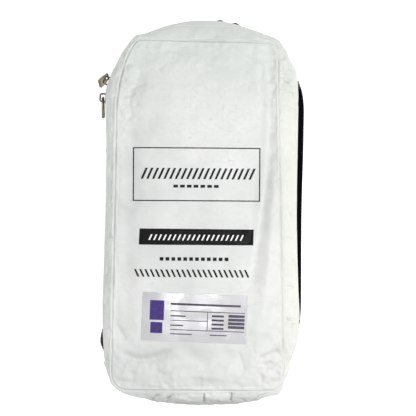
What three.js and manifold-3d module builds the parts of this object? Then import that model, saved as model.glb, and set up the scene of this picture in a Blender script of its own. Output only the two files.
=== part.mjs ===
// A zipped case for a sliding mitt, sewn from white spun-bonded sheet: a domed front panel, a flat back
// panel, gussets all round, a black coil zip round the left, top and right sides with two sliders that
// meet nose to nose, a pull tab on each slider, and a printed label stuck on the front. Millimetres.
// The case lies on its back panel at z = 0, +Z is out of the front panel and +Y is the case's top. A
// place on the side wall is a distance round the front seam, clockwise from above, and a profile of the
// wall holds pairs of how far out from that seam, and how high.
import * as THREE from "three";
import { mergeVertices } from "three/addons/utils/BufferGeometryUtils.js";
import Module from "manifold-3d";

const wasm = await Module();
wasm.setup();

// Front panel, seam to seam. The seam's four straight runs would meet at these corners.
const panelLength = 322;
const panelTopWidth = 147;
const panelBottomWidth = 159;
const panelTopMiddle = new THREE.Vector2(-4.8, 158.5);
const panelBottomShift = -0.5; // the bottom's middle from the top's, across
const panelTopDrop = 3.7; // the top seam falls this much from left to right
const panelBottomDrop = 1;
const cornerCut = 20; // how far from the meeting point of two runs the seam's corners are rounded

// Heights above the table
const seamHeight = 43;
const crownRise = 5.5; // the front panel's middle above its seam
const cornerDrop = 4; // the seam's corners below its sides
const frontGussetEdge = 31; // the lower edge of the front gusset
const zipHeight = 21.5; // the line where the two halves of the zip meet
const backGussetEdge = 12;

// Side wall
const wallStandOff = 20; // the most that the wall stands out from the front seam
const wallBulge = 0.6; // 0 is a flat slanting wall, 1 a quarter round
const backTuck = 5; // the wall's foot comes in this much to the back seam
const tapeShow = 6.5; // the most that the zip shows beyond the front gusset

// Sheet thicknesses and the gap that neighbouring pieces keep
const sheet = 1;
const tape = 1;
const labelFilm = 0.4;
const gap = 0.3;
const tuckGap = 0.5; // between a gusset and the tape that it holds

// Zip
const coilWidth = 2.6; // one half of the chain
const coilThickness = 1.8;
const closedGap = 0.2; // from the zip's middle line to each half where it is closed
const openGap = 0.9; // and between the sliders' noses
const tapeFlat = 5.3; // each tape is flat this far from the middle line, so that a slider can pass
const zipEndLeft = 0.078; // the zip's ends, as shares of the left and right sides
const zipEndRight = 0.862;

// Sliders
const sliderLength = 11.6;
const noseGap = 2.2; // between the two noses
const sliderMeeting = 0.931; // the share of the left side where the noses meet
const sliderPlate = 1.1;
const sliderClearance = 0.4;
const flange = 1;
const postHalfWidth = 0.5;
const bridgeWidth = 1.6;
const bridgeThickness = 1.4;
const bridgeHeight = 4.3; // inside the arch, above the slider's top plate
const bridgeLength = 8.4;

// Pull tabs
const tabLength = 20;
const tabThickness = 1.3;
const tabEyeWidth = 6.4;
const tabEndWidth = 8.4;
const tabBar = 1.2; // the bar at the end of the eye that a bridge traps
const tabEyeLength = 4.6;
const tabEyeInside = 4;
const tabRecess = 0.35;
const tabRim = 1.3;
const tabTwist = 17; // degrees that the lower tab leans on its own length
const tabDip = 5; // degrees that its free end comes in towards the chain
const tabLean = 22; // degrees that the upper tab hangs out from the wall
const tabSweep = 28; // degrees that it hangs off straight down, towards the other slider
const tabTurn = 30; // degrees that it is turned on its own length, face up

// Label
const labelWidth = 96;
const labelHeight = 44.4;
const labelAboveSeam = 67.5; // the label's middle above the middle of the bottom seam
const labelAside = -2.5; // and to the right of it
const labelTurn = -2.2; // degrees
const labelGap = 0.5;

// How each corner of the front seam is rounded: where the curve leaves the run before it and joins the
// run after it, as shares of cornerCut, and how full it is, from 0, a straight cut, to 1, a round
// corner.
const cornerTable = [
  { corner: "top left", before: 2.85, after: 0.925, fullness: 0.5 },
  { corner: "top right", before: 0.425, after: 0.55, fullness: 1 },
  { corner: "bottom right", before: 1, after: 0.65, fullness: 1 },
  { corner: "bottom left", before: 0.825, after: 0.925, fullness: 1 },
];

// How far the wall stands out, as a share of wallStandOff, and how far the zip reaches beyond it, as a
// share of tapeShow. along is a share of that side, from the middle of one corner to the next.
const wallTable = [
  { side: "top", along: 0, standOff: 0.43, zipOut: -0.25 },
  { side: "top", along: 0.1, standOff: 0.32, zipOut: -0.25 },
  { side: "top", along: 0.2, standOff: 0.29, zipOut: -0.25 },
  { side: "top", along: 0.35, standOff: 0.73, zipOut: -0.25 },
  { side: "top", along: 0.5, standOff: 1, zipOut: -0.2 },
  { side: "top", along: 0.6, standOff: 1.02, zipOut: -0.05 },
  { side: "top", along: 0.7, standOff: 0.99, zipOut: 0.32 },
  { side: "top", along: 0.85, standOff: 0.69, zipOut: -0.2 },
  { side: "right", along: 0, standOff: 0.36, zipOut: -0.25 },
  { side: "right", along: 0.07, standOff: 0.87, zipOut: -0.1 },
  { side: "right", along: 0.14, standOff: 0.95, zipOut: 0.8 },
  { side: "right", along: 0.24, standOff: 0.91, zipOut: 0.98 },
  { side: "right", along: 0.5, standOff: 0.785, zipOut: 0.85 },
  { side: "right", along: 0.72, standOff: 0.8, zipOut: 0.56 },
  { side: "right", along: 0.8, standOff: 0.835, zipOut: 0.3 },
  { side: "right", along: 0.86, standOff: 0.8, zipOut: -0.1 },
  { side: "right", along: 0.93, standOff: 0.45, zipOut: -0.25 },
  { side: "bottom", along: 0, standOff: 0.15, zipOut: -0.25 },
  { side: "bottom", along: 0.1, standOff: 0.36, zipOut: -0.25 },
  { side: "bottom", along: 0.22, standOff: 0.63, zipOut: -0.25 },
  { side: "bottom", along: 0.5, standOff: 0.735, zipOut: -0.25 },
  { side: "bottom", along: 0.75, standOff: 0.6, zipOut: -0.25 },
  { side: "bottom", along: 0.9, standOff: 0.3, zipOut: -0.25 },
  { side: "left", along: 0, standOff: 0.18, zipOut: -0.25 },
  { side: "left", along: 0.08, standOff: 0.36, zipOut: -0.1 },
  { side: "left", along: 0.13, standOff: 0.44, zipOut: 0.55 },
  { side: "left", along: 0.2, standOff: 0.49, zipOut: -0.1 },
  { side: "left", along: 0.27, standOff: 0.51, zipOut: -0.25 },
  { side: "left", along: 0.5, standOff: 0.46, zipOut: -0.25 },
  { side: "left", along: 0.75, standOff: 0.48, zipOut: -0.25 },
  { side: "left", along: 0.88, standOff: 0.56, zipOut: -0.1 },
  { side: "left", along: 0.94, standOff: 0.6, zipOut: -0.15 },
];

// Folds in the front panel. Each runs from a place, past a middle one, to an end; across and up are
// shares of the panel from its left and bottom seams. rise is a share of crownRise, below 0 for a dent,
// and spread a share of panelTopWidth.
const foldTable = [
  { fold: "right valley", from: [0.97, 0.98], past: [0.935, 0.68], to: [0.86, 0.35], rise: -0.5, spread: 0.05 },
  { fold: "right ridge", from: [0.96, 0.62], past: [0.92, 0.38], to: [0.79, 0.03], rise: 0.36, spread: 0.045 },
  { fold: "dent over the end", from: [0.1, 0.84], past: [0.47, 1.0], to: [0.92, 0.8], rise: -0.3, spread: 0.07 },
  { fold: "lower dent", from: [0.05, 0.11], past: [0.25, 0.08], to: [0.72, 0.1], rise: -0.32, spread: 0.055 },
  { fold: "lower ridge", from: [0.12, 0.05], past: [0.4, 0.04], to: [0.75, 0.05], rise: 0.2, spread: 0.04 },
  { fold: "lower left crease", from: [0.02, 0.19], past: [0.05, 0.165], to: [0.09, 0.14], rise: -0.25, spread: 0.025 },
  { fold: "upper left tuck", from: [0.01, 0.82], past: [0.08, 0.87], to: [0.3, 0.93], rise: -0.22, spread: 0.03 },
  { fold: "corner ridge", from: [0.03, 0.83], past: [0.07, 0.89], to: [0.11, 0.93], rise: 0.3, spread: 0.03 },
];

// Pleats that run down the wall, as shares: depth of sheet, width of wallStandOff, and slant, how far
// the pleat's foot lies along from its top, of wallStandOff.
const pleatTable = [
  { side: "bottom", along: 0.24, depth: 1.1, width: 0.12, slant: 0.02 },
  { side: "bottom", along: 0.4, depth: 1.4, width: 0.14, slant: -0.04 },
  { side: "bottom", along: 0.69, depth: 1.6, width: 0.2, slant: 0.5 },
  { side: "bottom", along: 0.8, depth: 1.3, width: 0.18, slant: 0.55 },
  { side: "right", along: 0.82, depth: 0.9, width: 0.12, slant: 0.05 },
  { side: "right", along: 0.93, depth: 1.2, width: 0.16, slant: 0.3 },
];

// The joins between the pieces of the front gusset, as shares of the left and right sides
const joinLeft = 0.897;
const joinRight = 0.169;

// How finely the surfaces are divided
const stationPitch = 14;
const cornerSteps = 4;
const wallRows = 4;
const panelColumns = 16;
const panelRows = 32;
const labelColumns = 12;
const labelRows = 6;

const sliderSpacing = sliderLength + noseGap;
const toRadians = THREE.MathUtils.degToRad;

// The corner where two runs of the front seam would meet: across and up are 0 or 1.
function panelCorner(across, up) {
  const middle = new THREE.Vector2(panelTopMiddle.x, panelTopMiddle.y - (1 - up) * panelLength);
  const width = up ? panelTopWidth : panelBottomWidth;
  const drop = up ? panelTopDrop : panelBottomDrop;
  middle.x += (1 - up) * panelBottomShift;
  return new THREE.Vector2(middle.x + (across - 0.5) * width, middle.y - (across - 0.5) * drop);
}

// The front seam in plan, clockwise from the top left: a straight run and a rounded corner, four times.
function frontSeam() {
  const corners = [panelCorner(0, 1), panelCorner(1, 1), panelCorner(1, 0), panelCorner(0, 0)];
  const rounded = corners.map((corner, i) => {
    const { before, after, fullness } = cornerTable[i];
    const towards = (other, share) => other.clone().sub(corner).setLength(share * cornerCut).add(corner);
    const start = towards(corners[(i + 3) % 4], before);
    const end = towards(corners[(i + 1) % 4], after);
    const control = start.clone().lerp(end, 0.5).lerp(corner, fullness);
    return { start, control, end };
  });
  const path = new THREE.CurvePath();
  rounded.forEach(({ end }, i) => {
    const next = rounded[(i + 1) % 4];
    path.add(new THREE.LineCurve(end, next.start));
    path.add(new THREE.QuadraticBezierCurve(next.start, next.control, next.end));
  });
  path.curves.forEach((curve) => (curve.arcLengthDivisions = 400));
  return path;
}

const seam = frontSeam();
const curveEnds = seam.getCurveLengths();
const seamLength = curveEnds[curveEnds.length - 1];

// Each side runs from the middle of the corner before it to the middle of the corner after it.
const sides = Object.fromEntries(
  ["top", "right", "bottom", "left"].map((name, i) => {
    const cornerMiddle = (curve) => (curveEnds[curve - 1] + curveEnds[curve]) / 2;
    const start = i ? cornerMiddle(2 * i - 1) : cornerMiddle(7) - seamLength;
    return [name, { start, length: cornerMiddle(2 * i + 1) - start }];
  }),
);

const wrap = (distance) => ((distance % seamLength) + seamLength) % seamLength;
const placeOn = (side, along) => sides[side].start + along * sides[side].length;

// The seam's point and outward direction in plan at a distance round it.
function seamAt(distance) {
  const share = wrap(distance) / seamLength;
  const point = seam.getPointAt(share);
  const before = seam.getPointAt(wrap(distance - 2) / seamLength);
  const after = seam.getPointAt(wrap(distance + 2) / seamLength);
  const direction = after.sub(before).normalize();
  return { point, outward: new THREE.Vector2(-direction.y, direction.x), direction };
}

// A smooth function of the distance round the seam through one column of the wall's table.
function roundTheWall(column) {
  const knots = wallTable.map((row) => ({ at: wrap(placeOn(row.side, row.along)), value: row[column] }));
  knots.sort((a, b) => a.at - b.at);
  const count = knots.length;
  const knot = (i) => {
    const turns = Math.floor(i / count);
    const { at, value } = knots[i - turns * count];
    return { at: at + turns * seamLength, value };
  };
  const slope = (i) => (knot(i + 1).value - knot(i - 1).value) / (knot(i + 1).at - knot(i - 1).at);
  return (distance) => {
    const at = wrap(distance);
    const i = knots.filter((k) => k.at <= at).length - 1;
    const [a, b] = [knot(i), knot(i + 1)];
    const span = b.at - a.at;
    const t = (at - a.at) / span;
    const ease = t * t * (3 - 2 * t);
    return (
      a.value * (1 - ease) +
      b.value * ease +
      slope(i) * span * t * (1 - t) ** 2 -
      slope(i + 1) * span * t * t * (1 - t)
    );
  };
}

const standOffShare = roundTheWall("standOff");
const zipOutShare = roundTheWall("zipOut");

// Where a place in plan lies in the panel, as shares across and up.
function panelShares(x, y) {
  const up = (y - panelTopMiddle.y + panelLength) / panelLength;
  const width = panelBottomWidth + (panelTopWidth - panelBottomWidth) * up;
  const middle = panelTopMiddle.x + (1 - up) * panelBottomShift;
  return [(x - middle) / width + 0.5, up];
}

// The points of each fold in plan, on a curve through its three places.
const folds = foldTable.map((row) => {
  const place = ([across, up]) => {
    const bottom = panelCorner(0, 0).lerp(panelCorner(1, 0), across);
    return bottom.lerp(panelCorner(0, 1).lerp(panelCorner(1, 1), across), up);
  };
  const curve = new THREE.SplineCurve([place(row.from), place(row.past), place(row.to)]);
  return { points: curve.getPoints(24), rise: row.rise * crownRise, spread: row.spread * panelTopWidth };
});

// What one fold adds to the panel's height: a soft ridge or dent that fades out at both ends.
function foldHeight({ points, rise, spread }, x, y) {
  let nearest = { distance: Infinity, at: 0 };
  points.forEach((point, i) => {
    const distance = Math.hypot(point.x - x, point.y - y);
    if (distance < nearest.distance) nearest = { distance, at: i / (points.length - 1) };
  });
  const fade = Math.sin(Math.PI * (0.12 + 0.76 * nearest.at));
  return rise * fade * Math.exp(-((nearest.distance / spread) ** 2));
}

// The height of the front panel's outer face over a place in plan.
function panelHeight(x, y) {
  const [across, up] = panelShares(x, y);
  const [sideways, lengthways] = [Math.min(1, Math.abs(2 * across - 1)), Math.min(1, Math.abs(2 * up - 1))];
  const dome = (1 - sideways ** 3) * (1 - lengthways ** 6);
  const corner = sideways ** 4 * lengthways ** 8;
  const folded = folds.reduce((sum, fold) => sum + foldHeight(fold, x, y), 0);
  return seamHeight + crownRise * dome - cornerDrop * corner + folded;
}

// How far a pleat draws the wall in at a place and a share of the way down.
function pleatDepth(distance, down) {
  return pleatTable.reduce((sum, { side, along, depth, width, slant }) => {
    let away = wrap(distance - placeOn(side, along) - slant * wallStandOff * down);
    away = Math.min(away, seamLength - away) / (width * wallStandOff);
    return sum + depth * sheet * Math.sin(Math.PI * down) * Math.exp(-(away ** 2));
  }, 0);
}

// How far the wall stands out, and how far out the zip tapes' outer face is.
const standOff = (distance) => wallStandOff * standOffShare(distance);
const tapeFace = (distance) => standOff(distance) + tapeShow * zipOutShare(distance) - coilThickness - gap;
const backStandOff = (distance) =>
  standOff(distance) - 1 + 0.5 * Math.max(0, tapeShow * zipOutShare(distance));
const backSeamOut = (distance) => backStandOff(distance) - backTuck;

// A profile moved inwards by a distance. Each point moves square to the profile there.
function inset(profile, amount) {
  return profile.map(([out, height], i) => {
    const [a, b] = [profile[Math.max(0, i - 1)], profile[Math.min(profile.length - 1, i + 1)]];
    const length = Math.hypot(b[0] - a[0], b[1] - a[1]);
    return [out + (amount * (b[1] - a[1])) / length, height - (amount * (b[0] - a[0])) / length];
  });
}

// A quarter turn between two points of a profile, flat or full as wallBulge says. It starts level and
// ends upright.
function quarter(start, end, shape = wallBulge) {
  return Array.from({ length: wallRows + 1 }, (_, i) => {
    const share = i / wallRows;
    const angle = (share * Math.PI) / 2;
    const out = (1 - shape) * share + shape * Math.sin(angle);
    const down = (1 - shape) * share + shape * (1 - Math.cos(angle));
    return [start[0] + (end[0] - start[0]) * out, start[1] + (end[1] - start[1]) * down];
  });
}

// The outer face of the wall above the zip, from the front seam down. It starts far enough out for its
// own thickness.
function upperWall(distance) {
  const { point } = seamAt(distance);
  const top = panelHeight(point.x, point.y);
  const end = [standOff(distance), frontGussetEdge];
  const steep = (top - end[1]) / Math.hypot(end[0], top - end[1]);
  return quarter([gap + sheet * steep, top], end).map(([out, height], i) => [
    out - pleatDepth(distance, i / (2 * wallRows)),
    height,
  ]);
}

// The outer face of the wall below the zip, down to the back seam.
function lowerWall(distance) {
  const foot = [backSeamOut(distance), sheet + gap];
  const rows = quarter(foot, [backStandOff(distance), backGussetEdge]).reverse();
  return rows.map(([out, height], i) => [out - pleatDepth(distance, 0.5 + i / (2 * wallRows)), height]);
}

// How far each half of the zip keeps from its middle line: closed, but open between the sliders' noses.
function zipGap(distance) {
  const middle = placeOn("left", sliderMeeting);
  const away = Math.abs(wrap(distance - middle + seamLength / 2) - seamLength / 2);
  const opening = THREE.MathUtils.smoothstep(away, sliderSpacing / 2 - 2, sliderSpacing / 2 + 1.5);
  return openGap + (closedGap - openGap) * opening;
}

// A zip tape's outer face, from inside the gusset that holds it to the zip's middle line. side is 1
// above the line.
function tapeProfile(distance, side) {
  const wall = side > 0 ? upperWall(distance) : lowerWall(distance).reverse();
  const held = inset(side > 0 ? wall : wall.slice().reverse(), sheet + tuckGap);
  const edge = side > 0 ? held[held.length - 1] : held[0];
  const hidden = side > 0 ? held[held.length - 2] : held[1];
  const out = tapeFace(distance);
  const clear = [edge[0], edge[1] - side * sheet];
  const flatEnd = [out, zipHeight + side * tapeFlat];
  const middle = [out, zipHeight + side * zipGap(distance)];
  const profile = [hidden, edge, clear, flatEnd, middle];
  return side > 0 ? profile : profile.reverse();
}

// The distances round the wall at which its pieces have stations: evenly spaced, closer at corners,
// pleats and sliders.
function stationsAround() {
  const special = [];
  cornerTable.forEach((_, i) => {
    const curve = 2 * i + 1;
    for (let step = 0; step <= cornerSteps; step++) {
      const share = step / cornerSteps;
      special.push(curveEnds[curve - 1] * (1 - share) + curveEnds[curve] * share);
    }
  });
  pleatTable.forEach(({ side, along, width, slant }) => {
    for (const step of [-2, -1, 0, 1, 2]) {
      special.push(placeOn(side, along) + (step * width + slant / 2) * wallStandOff);
    }
  });
  for (const step of [-1, -0.75, -0.5, -0.25, 0, 0.25, 0.5, 0.75, 1]) {
    special.push(placeOn("left", sliderMeeting) + step * (sliderSpacing / 2 + sliderLength / 2));
  }
  const sorted = special.map(wrap).sort((a, b) => a - b);
  const apart = sorted.filter((at, i) => i === 0 || at - sorted[i - 1] > stationPitch / 12);
  return apart.flatMap((at, i) => {
    const next = i + 1 < apart.length ? apart[i + 1] : apart[0] + seamLength;
    const steps = Math.ceil((next - at) / stationPitch);
    return Array.from({ length: steps }, (_, k) => wrap(at + ((next - at) * k) / steps));
  });
}

const wallStations = stationsAround().sort((a, b) => a - b);

// The stations of one piece, with its own two ends
function stationsBetween(from, to) {
  const margin = stationPitch / 12;
  const inside = wallStations.map((at) => from + wrap(at - from));
  const between = inside.filter((at) => at > from + margin && at < to - margin);
  return [from, ...between.sort((a, b) => a - b), to];
}

// The seam as the wall's pieces follow it, straight from station to station
function facetedSeam(distance) {
  const at = wrap(distance);
  const i = wallStations.filter((station) => station <= at).length;
  const count = wallStations.length;
  const [before, after] = [wallStations[(i + count - 1) % count], wallStations[i % count]];
  const span = wrap(after - before);
  const start = seamAt(before).point;
  return start.lerp(seamAt(after).point, wrap(at - before) / span);
}

const toSpace = ({ point, outward }, [out, height]) =>
  new THREE.Vector3(point.x + outward.x * out, point.y + outward.y * out, height);

// A closed solid from an outer and an inner grid of points, whose edges are joined by a rim. The outer
// grid's rows and columns turn so that its faces point outwards.
function solidBetween(outer, inner) {
  const [rows, columns] = [outer.length, outer[0].length];
  const positions = [...outer.flat(), ...inner.flat()].flatMap((p) => [p.x, p.y, p.z]);
  const index = [];
  const at = (grid, row, column) => grid * rows * columns + row * columns + column;
  const quad = (a, b, c, d) => index.push(a, b, c, a, c, d);
  for (let row = 0; row < rows - 1; row++) {
    for (let column = 0; column < columns - 1; column++) {
      quad(at(0, row, column), at(0, row, column + 1), at(0, row + 1, column + 1), at(0, row + 1, column));
      quad(at(1, row, column), at(1, row + 1, column), at(1, row + 1, column + 1), at(1, row, column + 1));
    }
  }
  for (let row = 0; row < rows - 1; row++) {
    quad(at(0, row, 0), at(0, row + 1, 0), at(1, row + 1, 0), at(1, row, 0));
    const last = columns - 1;
    quad(at(0, row, last), at(1, row, last), at(1, row + 1, last), at(0, row + 1, last));
  }
  for (let column = 0; column < columns - 1; column++) {
    quad(at(0, 0, column), at(1, 0, column), at(1, 0, column + 1), at(0, 0, column + 1));
    const last = rows - 1;
    quad(at(0, last, column), at(0, last, column + 1), at(1, last, column + 1), at(1, last, column));
  }
  const geometry = new THREE.BufferGeometry();
  geometry.setAttribute("position", new THREE.Float32BufferAttribute(positions, 3));
  geometry.setIndex(index);
  return geometry;
}

// A strip of the wall between two places. profileAt gives its outer face, from the top down, at each
// station.
function wallStrip(from, to, profileAt, thickness) {
  const stations = stationsBetween(from, to);
  const profiles = stations.map(profileAt);
  const grid = (amount) =>
    profiles[0].map((_, row) =>
      stations.map((distance, column) => toSpace(seamAt(distance), inset(profiles[column], amount)[row])),
    );
  return solidBetween(grid(0), grid(thickness));
}

// One half of the zip's chain, as a bar of the coil's outer size on its tape's edge.
function coilStrip(from, to, side) {
  const stations = stationsBetween(from, to);
  const grid = (level) =>
    [0, coilWidth].map((across) =>
      stations.map((distance) => {
        const height = zipHeight + side * (zipGap(distance) + across);
        return toSpace(seamAt(distance), [tapeFace(distance) + gap + level * coilThickness, height]);
      }),
    );
  return side > 0 ? solidBetween(grid(0), grid(1)) : solidBetween(grid(1), grid(0));
}

// The front panel: a grid between the four sides of its seam, which meet at the middles of the corners.
function frontPanel() {
  const sideAt = (side, along) => facetedSeam(placeOn(side, along));
  const [topLeft, topRight] = [sideAt("top", 0), sideAt("top", 1)];
  const [bottomLeft, bottomRight] = [sideAt("left", 0), sideAt("right", 1)];
  const place = (u, v) => {
    const sidesMixed = sideAt("left", v).multiplyScalar(1 - u).addScaledVector(sideAt("right", 1 - v), u);
    const endsMixed = sideAt("bottom", 1 - u).multiplyScalar(1 - v).addScaledVector(sideAt("top", u), v);
    const low = bottomLeft.clone().lerp(bottomRight, u);
    const high = topLeft.clone().lerp(topRight, u);
    return sidesMixed.add(endsMixed).sub(low.lerp(high, v));
  };
  const grid = (below) =>
    Array.from({ length: panelRows + 1 }, (_, row) =>
      Array.from({ length: panelColumns + 1 }, (__, column) => {
        const { x, y } = place(column / panelColumns, row / panelRows);
        return new THREE.Vector3(x, y, panelHeight(x, y) - below);
      }),
    );
  return solidBetween(grid(0), grid(sheet));
}

// The back panel lies flat, and its edge stands a little proud of the wall's foot.
function backPanel() {
  const stations = stationsBetween(0, seamLength).slice(0, -1);
  const outline = stations.map((distance) => {
    const { point, outward } = seamAt(distance);
    return point.clone().addScaledVector(outward, backSeamOut(distance) + gap);
  });
  return new THREE.ExtrudeGeometry(new THREE.Shape(outline), { depth: sheet, bevelEnabled: false });
}

// The label follows the front panel's face.
function labelSheet() {
  const seamMiddle = new THREE.Vector2(panelTopMiddle.x + panelBottomShift, panelTopMiddle.y - panelLength);
  const middle = seamMiddle.add(new THREE.Vector2(labelAside, labelAboveSeam));
  const turn = toRadians(labelTurn);
  const grid = (above) =>
    Array.from({ length: labelRows + 1 }, (_, row) =>
      Array.from({ length: labelColumns + 1 }, (__, column) => {
        const across = (column / labelColumns - 0.5) * labelWidth;
        const up = (row / labelRows - 0.5) * labelHeight;
        const onLabel = new THREE.Vector2(across, up).rotateAround(new THREE.Vector2(), turn);
        const { x, y } = onLabel.add(middle);
        return new THREE.Vector3(x, y, panelHeight(x, y) + labelGap + above);
      }),
    );
  return solidBetween(grid(labelFilm), grid(0));
}

// A closed geometry as a manifold-3d solid, and the solid as a geometry.
function solidOf(geometry) {
  const bare = new THREE.BufferGeometry();
  bare.setAttribute("position", geometry.getAttribute("position"));
  if (geometry.index) bare.setIndex(geometry.index);
  const merged = mergeVertices(bare, 1e-4);
  return new wasm.Manifold(
    new wasm.Mesh({
      numProp: 3,
      vertProperties: new Float32Array(merged.getAttribute("position").array),
      triVerts: new Uint32Array(merged.index.array),
    }),
  );
}

function geometryOf(solid) {
  const { numVert, numProp, vertProperties, triVerts } = solid.getMesh();
  const vertexAt = (i) => [...vertProperties.subarray(i * numProp, i * numProp + 3)];
  const positions = Array.from({ length: numVert }, (_, i) => vertexAt(i));
  const geometry = new THREE.BufferGeometry();
  geometry.setAttribute("position", new THREE.Float32BufferAttribute(positions.flat(), 3));
  geometry.setIndex([...triVerts]);
  return geometry;
}

// A flat outline of [x, y] points as a solid from one height to another.
function plate(outline, low, high) {
  const shape = new THREE.Shape(outline.map(([x, y]) => new THREE.Vector2(x, y)));
  const geometry = new THREE.ExtrudeGeometry(shape, { depth: high - low, bevelEnabled: false });
  return solidOf(geometry.translate(0, 0, low));
}

// Levels through a slider, measured out from the tapes' outer face
const chainTop = gap + coilThickness;
const topPlateInside = chainTop + sliderClearance;
const topPlateOutside = topPlateInside + sliderPlate;
const bridgeInside = topPlateOutside + bridgeHeight;

// A slider about the middle of the chain it runs on: +x is its nose, y is across the chain and z is
// outwards.
function sliderBody() {
  const end = sliderLength / 2;
  const tailInside = closedGap + coilWidth + sliderClearance;
  const noseInside = openGap + coilWidth + sliderClearance;
  const tail = tailInside + flange;
  const nose = noseInside + flange;
  const shield = [
    [-end, -tail + 1],
    [-end + 1, -tail],
    [end - 2, -nose],
    [end, -nose + 2],
    [end, nose - 2],
    [end - 2, nose],
    [-end + 1, tail],
    [-end, tail - 1],
  ];
  const side = (sign) => {
    const inside = [[-end + 0.6, tailInside], [end - 2, noseInside]];
    const outside = [[end - 2, nose], [-end + 1, tail]];
    const outline = [...inside, ...outside].map(([x, y]) => [x, sign * y]);
    return plate(sign > 0 ? outline : outline.reverse(), sliderClearance, topPlateInside + sliderPlate / 2);
  };
  const post = [
    [end - 4, 0],
    [end - 2.6, -postHalfWidth],
    [end - 0.4, -postHalfWidth],
    [end - 0.4, postHalfWidth],
    [end - 2.6, postHalfWidth],
  ];
  const underside = -tape - sliderClearance;
  return plate(shield, topPlateInside, topPlateOutside)
    .add(plate(shield, underside - sliderPlate, underside))
    .add(side(1))
    .add(side(-1))
    .add(plate(post, underside - sliderPlate / 2, topPlateInside + sliderPlate / 2))
    .add(bridge());
}

// The arch that traps the pull tab, seen from the slider's side and given its width.
function bridge() {
  const half = bridgeLength / 2;
  const [inside, outside] = [bridgeInside, bridgeInside + bridgeThickness];
  const foot = topPlateOutside - sliderPlate / 2;
  const soft = 1.4; // the arch's shoulders are cut this much
  const arch = [
    [-half, foot],
    [-half + bridgeThickness, foot],
    [-half + bridgeThickness, inside - soft / 2],
    [-half + bridgeThickness + soft / 2, inside],
    [half - bridgeThickness - soft / 2, inside],
    [half - bridgeThickness, inside - soft / 2],
    [half - bridgeThickness, foot],
    [half, foot],
    [half, outside - soft],
    [half - soft, outside],
    [-half + soft, outside],
    [-half, outside - soft],
  ];
  const shape = new THREE.Shape(arch.map(([x, y]) => new THREE.Vector2(x, y)));
  const geometry = new THREE.ExtrudeGeometry(shape, { depth: bridgeWidth, bevelEnabled: false });
  return solidOf(geometry.translate(0, 0, -bridgeWidth / 2).rotateX(Math.PI / 2));
}

// A pull tab: x runs along it from the outer end of its eye, y across and z through it. Both faces are
// recessed.
function pullTab() {
  const [eye, end, soft] = [tabEyeWidth / 2, tabEndWidth / 2, 1.6];
  const shoulder = tabBar + tabEyeLength + 1.6;
  const outline = [
    [0, -eye + 1],
    [0.9, -eye],
    [shoulder - 1.6, -eye],
    [shoulder, -end + 0.5],
    [tabLength - soft, -end],
    [tabLength - soft / 3, -end + soft / 2],
    [tabLength, -end + soft * 1.4],
    [tabLength, end - soft * 1.4],
    [tabLength - soft / 3, end - soft / 2],
    [tabLength - soft, end],
    [shoulder, end - 0.5],
    [shoulder - 1.6, eye],
    [0.9, eye],
    [0, eye - 1],
  ];
  const half = tabThickness / 2;
  const rectangle = (x0, x1, y) => [[x0, -y], [x1, -y], [x1, y], [x0, y]];
  const window = plate(rectangle(tabBar, tabBar + tabEyeLength, tabEyeInside / 2), -half - 1, half + 1);
  const field = rectangle(shoulder + tabRim / 2, tabLength - tabRim, end - tabRim);
  const recesses = plate(field, half - tabRecess, half + 1).add(plate(field, -half - 1, -half + tabRecess));
  return plate(outline, -half, half).subtract(window).subtract(recesses);
}

// A group on the chain: x along it, anticlockwise from above, y up and z outwards, at the tapes' outer
// face.
function chainFrame(distance) {
  const chainAt = (at) => toSpace(seamAt(at), [tapeFace(at), zipHeight]);
  const [start, end] = [chainAt(distance - sliderLength / 2), chainAt(distance + sliderLength / 2)];
  const along = start.clone().sub(end).normalize();
  const up = new THREE.Vector3(0, 0, 1);
  const origin = start.add(end).multiplyScalar(0.5).lerp(chainAt(distance), 0.5);
  const frame = new THREE.Group();
  frame.matrix.makeBasis(along, up, along.clone().cross(up)).setPosition(origin);
  frame.matrix.decompose(frame.position, frame.quaternion, frame.scale);
  return frame;
}

const materials = {
  sheet: new THREE.MeshStandardMaterial({ color: 0xe9ebe7, roughness: 0.75, side: THREE.DoubleSide }),
  tape: new THREE.MeshStandardMaterial({ color: 0x0d0d0f, roughness: 0.85, side: THREE.DoubleSide }),
  coil: new THREE.MeshStandardMaterial({ color: 0x141416, roughness: 0.45 }),
  metal: new THREE.MeshStandardMaterial({ color: 0x6f6b59, roughness: 0.35, metalness: 1 }),
  label: new THREE.MeshStandardMaterial({ color: 0xc9c8cc, roughness: 0.35 }),
};

function piece(name, geometry, material) {
  geometry.computeVertexNormals();
  const mesh = new THREE.Mesh(geometry, material);
  mesh.name = name;
  return mesh;
}

const caseGroup = new THREE.Group();

function addPanels() {
  caseGroup.add(piece("front_panel", frontPanel(), materials.sheet));
  caseGroup.add(piece("back_panel", backPanel(), materials.sheet));
  caseGroup.add(piece("label", labelSheet(), materials.label));
}

// The front gusset is sewn from a top piece and two sides, the back gusset is one piece, and where
// there is no zip one bottom gusset runs from the front panel to the back.
function addGussets() {
  const half = gap / 2;
  const zipStart = placeOn("left", zipEndLeft);
  const leftJoin = placeOn("left", joinLeft);
  const rightJoin = seamLength + placeOn("right", joinRight);
  const zipEnd = seamLength + placeOn("right", zipEndRight);
  const add = (name, from, to, profileAt) =>
    caseGroup.add(piece(name, wallStrip(from + half, to - half, profileAt, sheet), materials.sheet));
  add("front_gusset_left", zipStart, leftJoin, upperWall);
  add("front_gusset_top", leftJoin, rightJoin, upperWall);
  add("front_gusset_right", rightJoin, zipEnd, upperWall);
  add("back_gusset", zipStart, zipEnd, lowerWall);
  add("bottom_gusset", zipEnd - seamLength, zipStart, (distance) => [
    ...upperWall(distance),
    [standOff(distance), zipHeight],
    ...lowerWall(distance),
  ]);
}

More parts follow.
